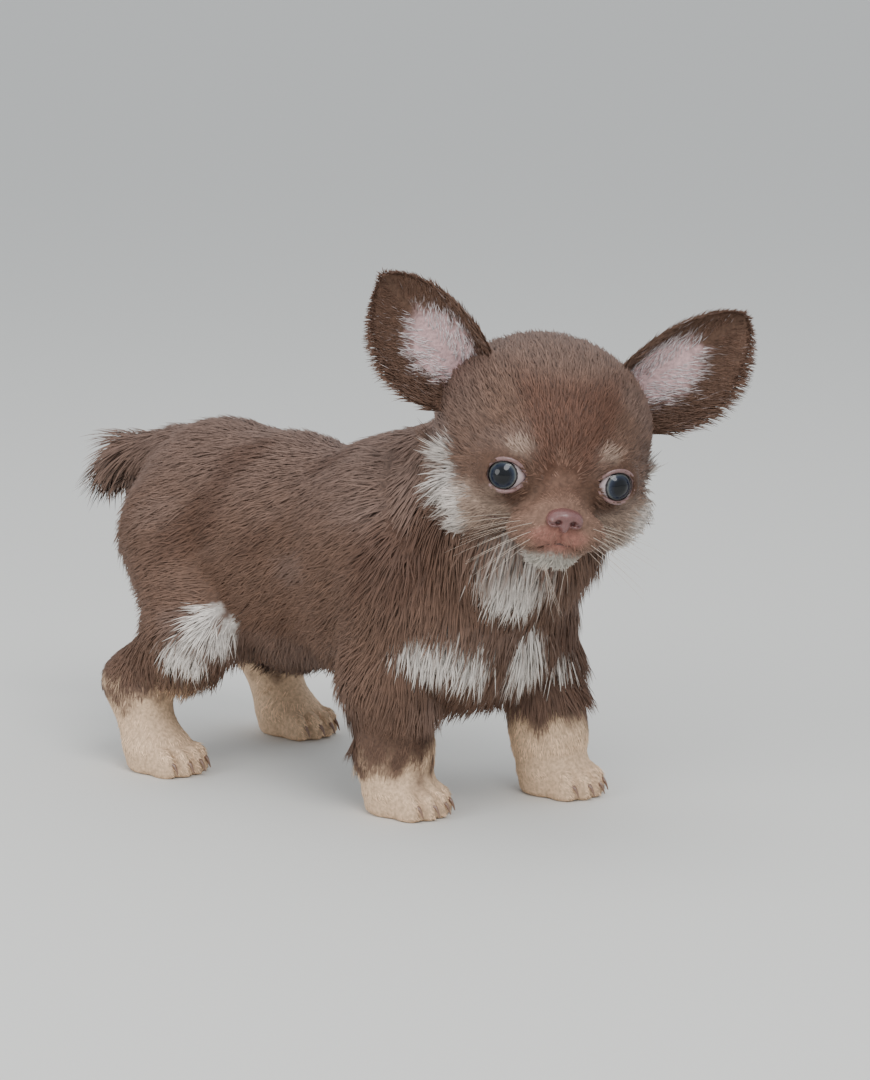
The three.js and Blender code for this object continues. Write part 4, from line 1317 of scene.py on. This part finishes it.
def whisker(root, way, long, bow, count, sunk, thick, taper):
    """A path that leaves the skin along a way and bows, with its radii."""
    steps = np.linspace(0, 1, count)[:, None]
    return root - way * sunk + way * steps * long + bow * steps ** 2, list(thick - taper * steps[:, 0])


whisker_paths = []
for s in (-1, 1):
    for row in range(WHISKER_ROWS):
        for column in range(WHISKER_COLUMNS):
            root = on_muzzle(np.array([s * (8 + 2.0 * column), 34 - 3.1 * column, -17.5 - 2.1 * row]))
            way = [s * (0.75 + 0.1 * column), 0.35 - 0.16 * column, -0.12 - 0.14 * row]
            long = dice.uniform(13, 24)
            sag = turn_from_head([0.1 * s, -0.5, -0.6]) * long * 0.22
            whisker_paths.append(whisker(root, unit(turn_from_head(way)), long, sag, 9, 0.6, 0.075, 0.06))
for _ in range(CHIN_WHISKERS):
    root = on_muzzle(np.array([dice.uniform(-7, 7), 31, -30]))
    way = unit(turn_from_head([dice.uniform(-0.4, 0.5), 0.35, -1]))
    long = dice.uniform(10, 20)
    bow = turn_from_head([dice.uniform(-4, 4), -3, 0])
    whisker_paths.append(whisker(root, way, long, bow, 10, 0.5, 0.07, 0.055))
whiskers = swept_piece("whiskers", whisker_paths, whisker_material, 5)

CLAW_ROOT = [0, -4.6, 0.6]
CLAW_FORWARD = np.array([0, -2.7, 0])
CLAW_DROP = np.array([0, 0, -3.4])
CLAW_RADIUS = 0.75
CLAW_TAPER = 0.6
claw_paths = []
for _, (x, y) in LEGS:
    for across in TOES:
        root = np.array(toe_place(x, y, across)) + CLAW_ROOT
        steps = np.linspace(0, 1, 7)[:, None]
        path = root + CLAW_FORWARD * steps + CLAW_DROP * steps ** 2
        claw_paths.append((path, list(CLAW_RADIUS - CLAW_TAPER * steps[:, 0] ** 1.5)))
claws = swept_piece("claws", claw_paths, claw_material, 8)

# What each piece rides on, and the model's parts that are hidden where pieces take their place
FLESH = ["head", "neck", "torso", "tail", "ear_right", "ear_left"]
FLESH += [f"{part}_{side}" for part in ("foreleg", "forepaw", "hindleg", "hindpaw")
          for side in ("right", "left")]
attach(skin, "root")
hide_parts(*FLESH)
for piece in coat_pieces:
    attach(piece, "root")
for piece, name in ((lids, "nose"), (lid_shadows, "nose"), (lips, "nose"), (whiskers, "coat"),
                    (claws, "paws")):
    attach(piece, "root")
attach(nose, "root")
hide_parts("nose")
for s, node in ((-1, "eye_right"), (1, "eye_left")):
    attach(eyes[s], "root")
    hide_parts(node)

# Floor, light and camera
FLOOR_REACH = 60.0
SKY_COLOUR = (0.86, 0.9, 0.95, 1)
SKY_STRENGTH = 0.95
LIGHT_AIM = (0, 0, 0.08)
LIGHTS = (
    ("key", (-0.5, -0.9, 1.2), 0.8, 13),
    ("top", (0.1, 0.2, 1.5), 1.1, 4),
    ("fill", (-1.3, 0.2, 0.5), 0.9, 9),
)
CAMERA_PLACE = np.array([-780.7, -746.0, 271.0])
AZIMUTH = math.radians(-48)
ELEVATION = math.radians(10)
IMAGE_HEIGHT = 1080
FOCAL_PIXELS = 3254.4
SENSOR = 36

floor_mesh = bpy.data.meshes.new("studio_floor")
floor_mesh.from_pydata([(x * FLOOR_REACH, y * FLOOR_REACH, 0)
                        for x, y in ((-1, -1), (1, -1), (1, 1), (-1, 1))], [], [(0, 1, 2, 3)])
floor_mesh.materials.append(plain_material("pale_floor", srgb(214, 213, 208), 0.7))
floor = bpy.data.objects.new("studio_floor", floor_mesh)
bpy.context.scene.collection.objects.link(floor)

world = bpy.data.worlds.new("studio")
world.use_nodes = True
set_inputs(world.node_tree.nodes["Background"], {"Color": SKY_COLOUR, "Strength": SKY_STRENGTH})
bpy.context.scene.world = world


def soft_light(name, place, size, power):
    """A disk of light that looks at the middle of the puppy."""
    data = bpy.data.lights.new(name, "AREA")
    data.shape = "DISK"
    data.size = size
    data.energy = power
    light = bpy.data.objects.new(name, data)
    light.location = place
    light.rotation_mode = "QUATERNION"
    aim = Vector(LIGHT_AIM) - Vector(place)
    light.rotation_quaternion = aim.to_track_quat("-Z", "Y")
    bpy.context.scene.collection.objects.link(light)


for values in LIGHTS:
    soft_light(*values)

back = Vector((math.sin(AZIMUTH) * math.cos(ELEVATION),
               -math.cos(AZIMUTH) * math.cos(ELEVATION), math.sin(ELEVATION)))
right = Vector((math.cos(AZIMUTH), math.sin(AZIMUTH), 0))
camera_data = bpy.data.cameras.new("camera")
camera_data.sensor_width = SENSOR
camera_data.lens = FOCAL_PIXELS / IMAGE_HEIGHT * SENSOR
camera = bpy.data.objects.new("camera", camera_data)
camera.matrix_world = Matrix.Translation(Vector(placed(CAMERA_PLACE))) @ Matrix(
    [right, back.cross(right), back]).transposed().to_4x4()
bpy.context.scene.collection.objects.link(camera)
bpy.context.scene.camera = camera
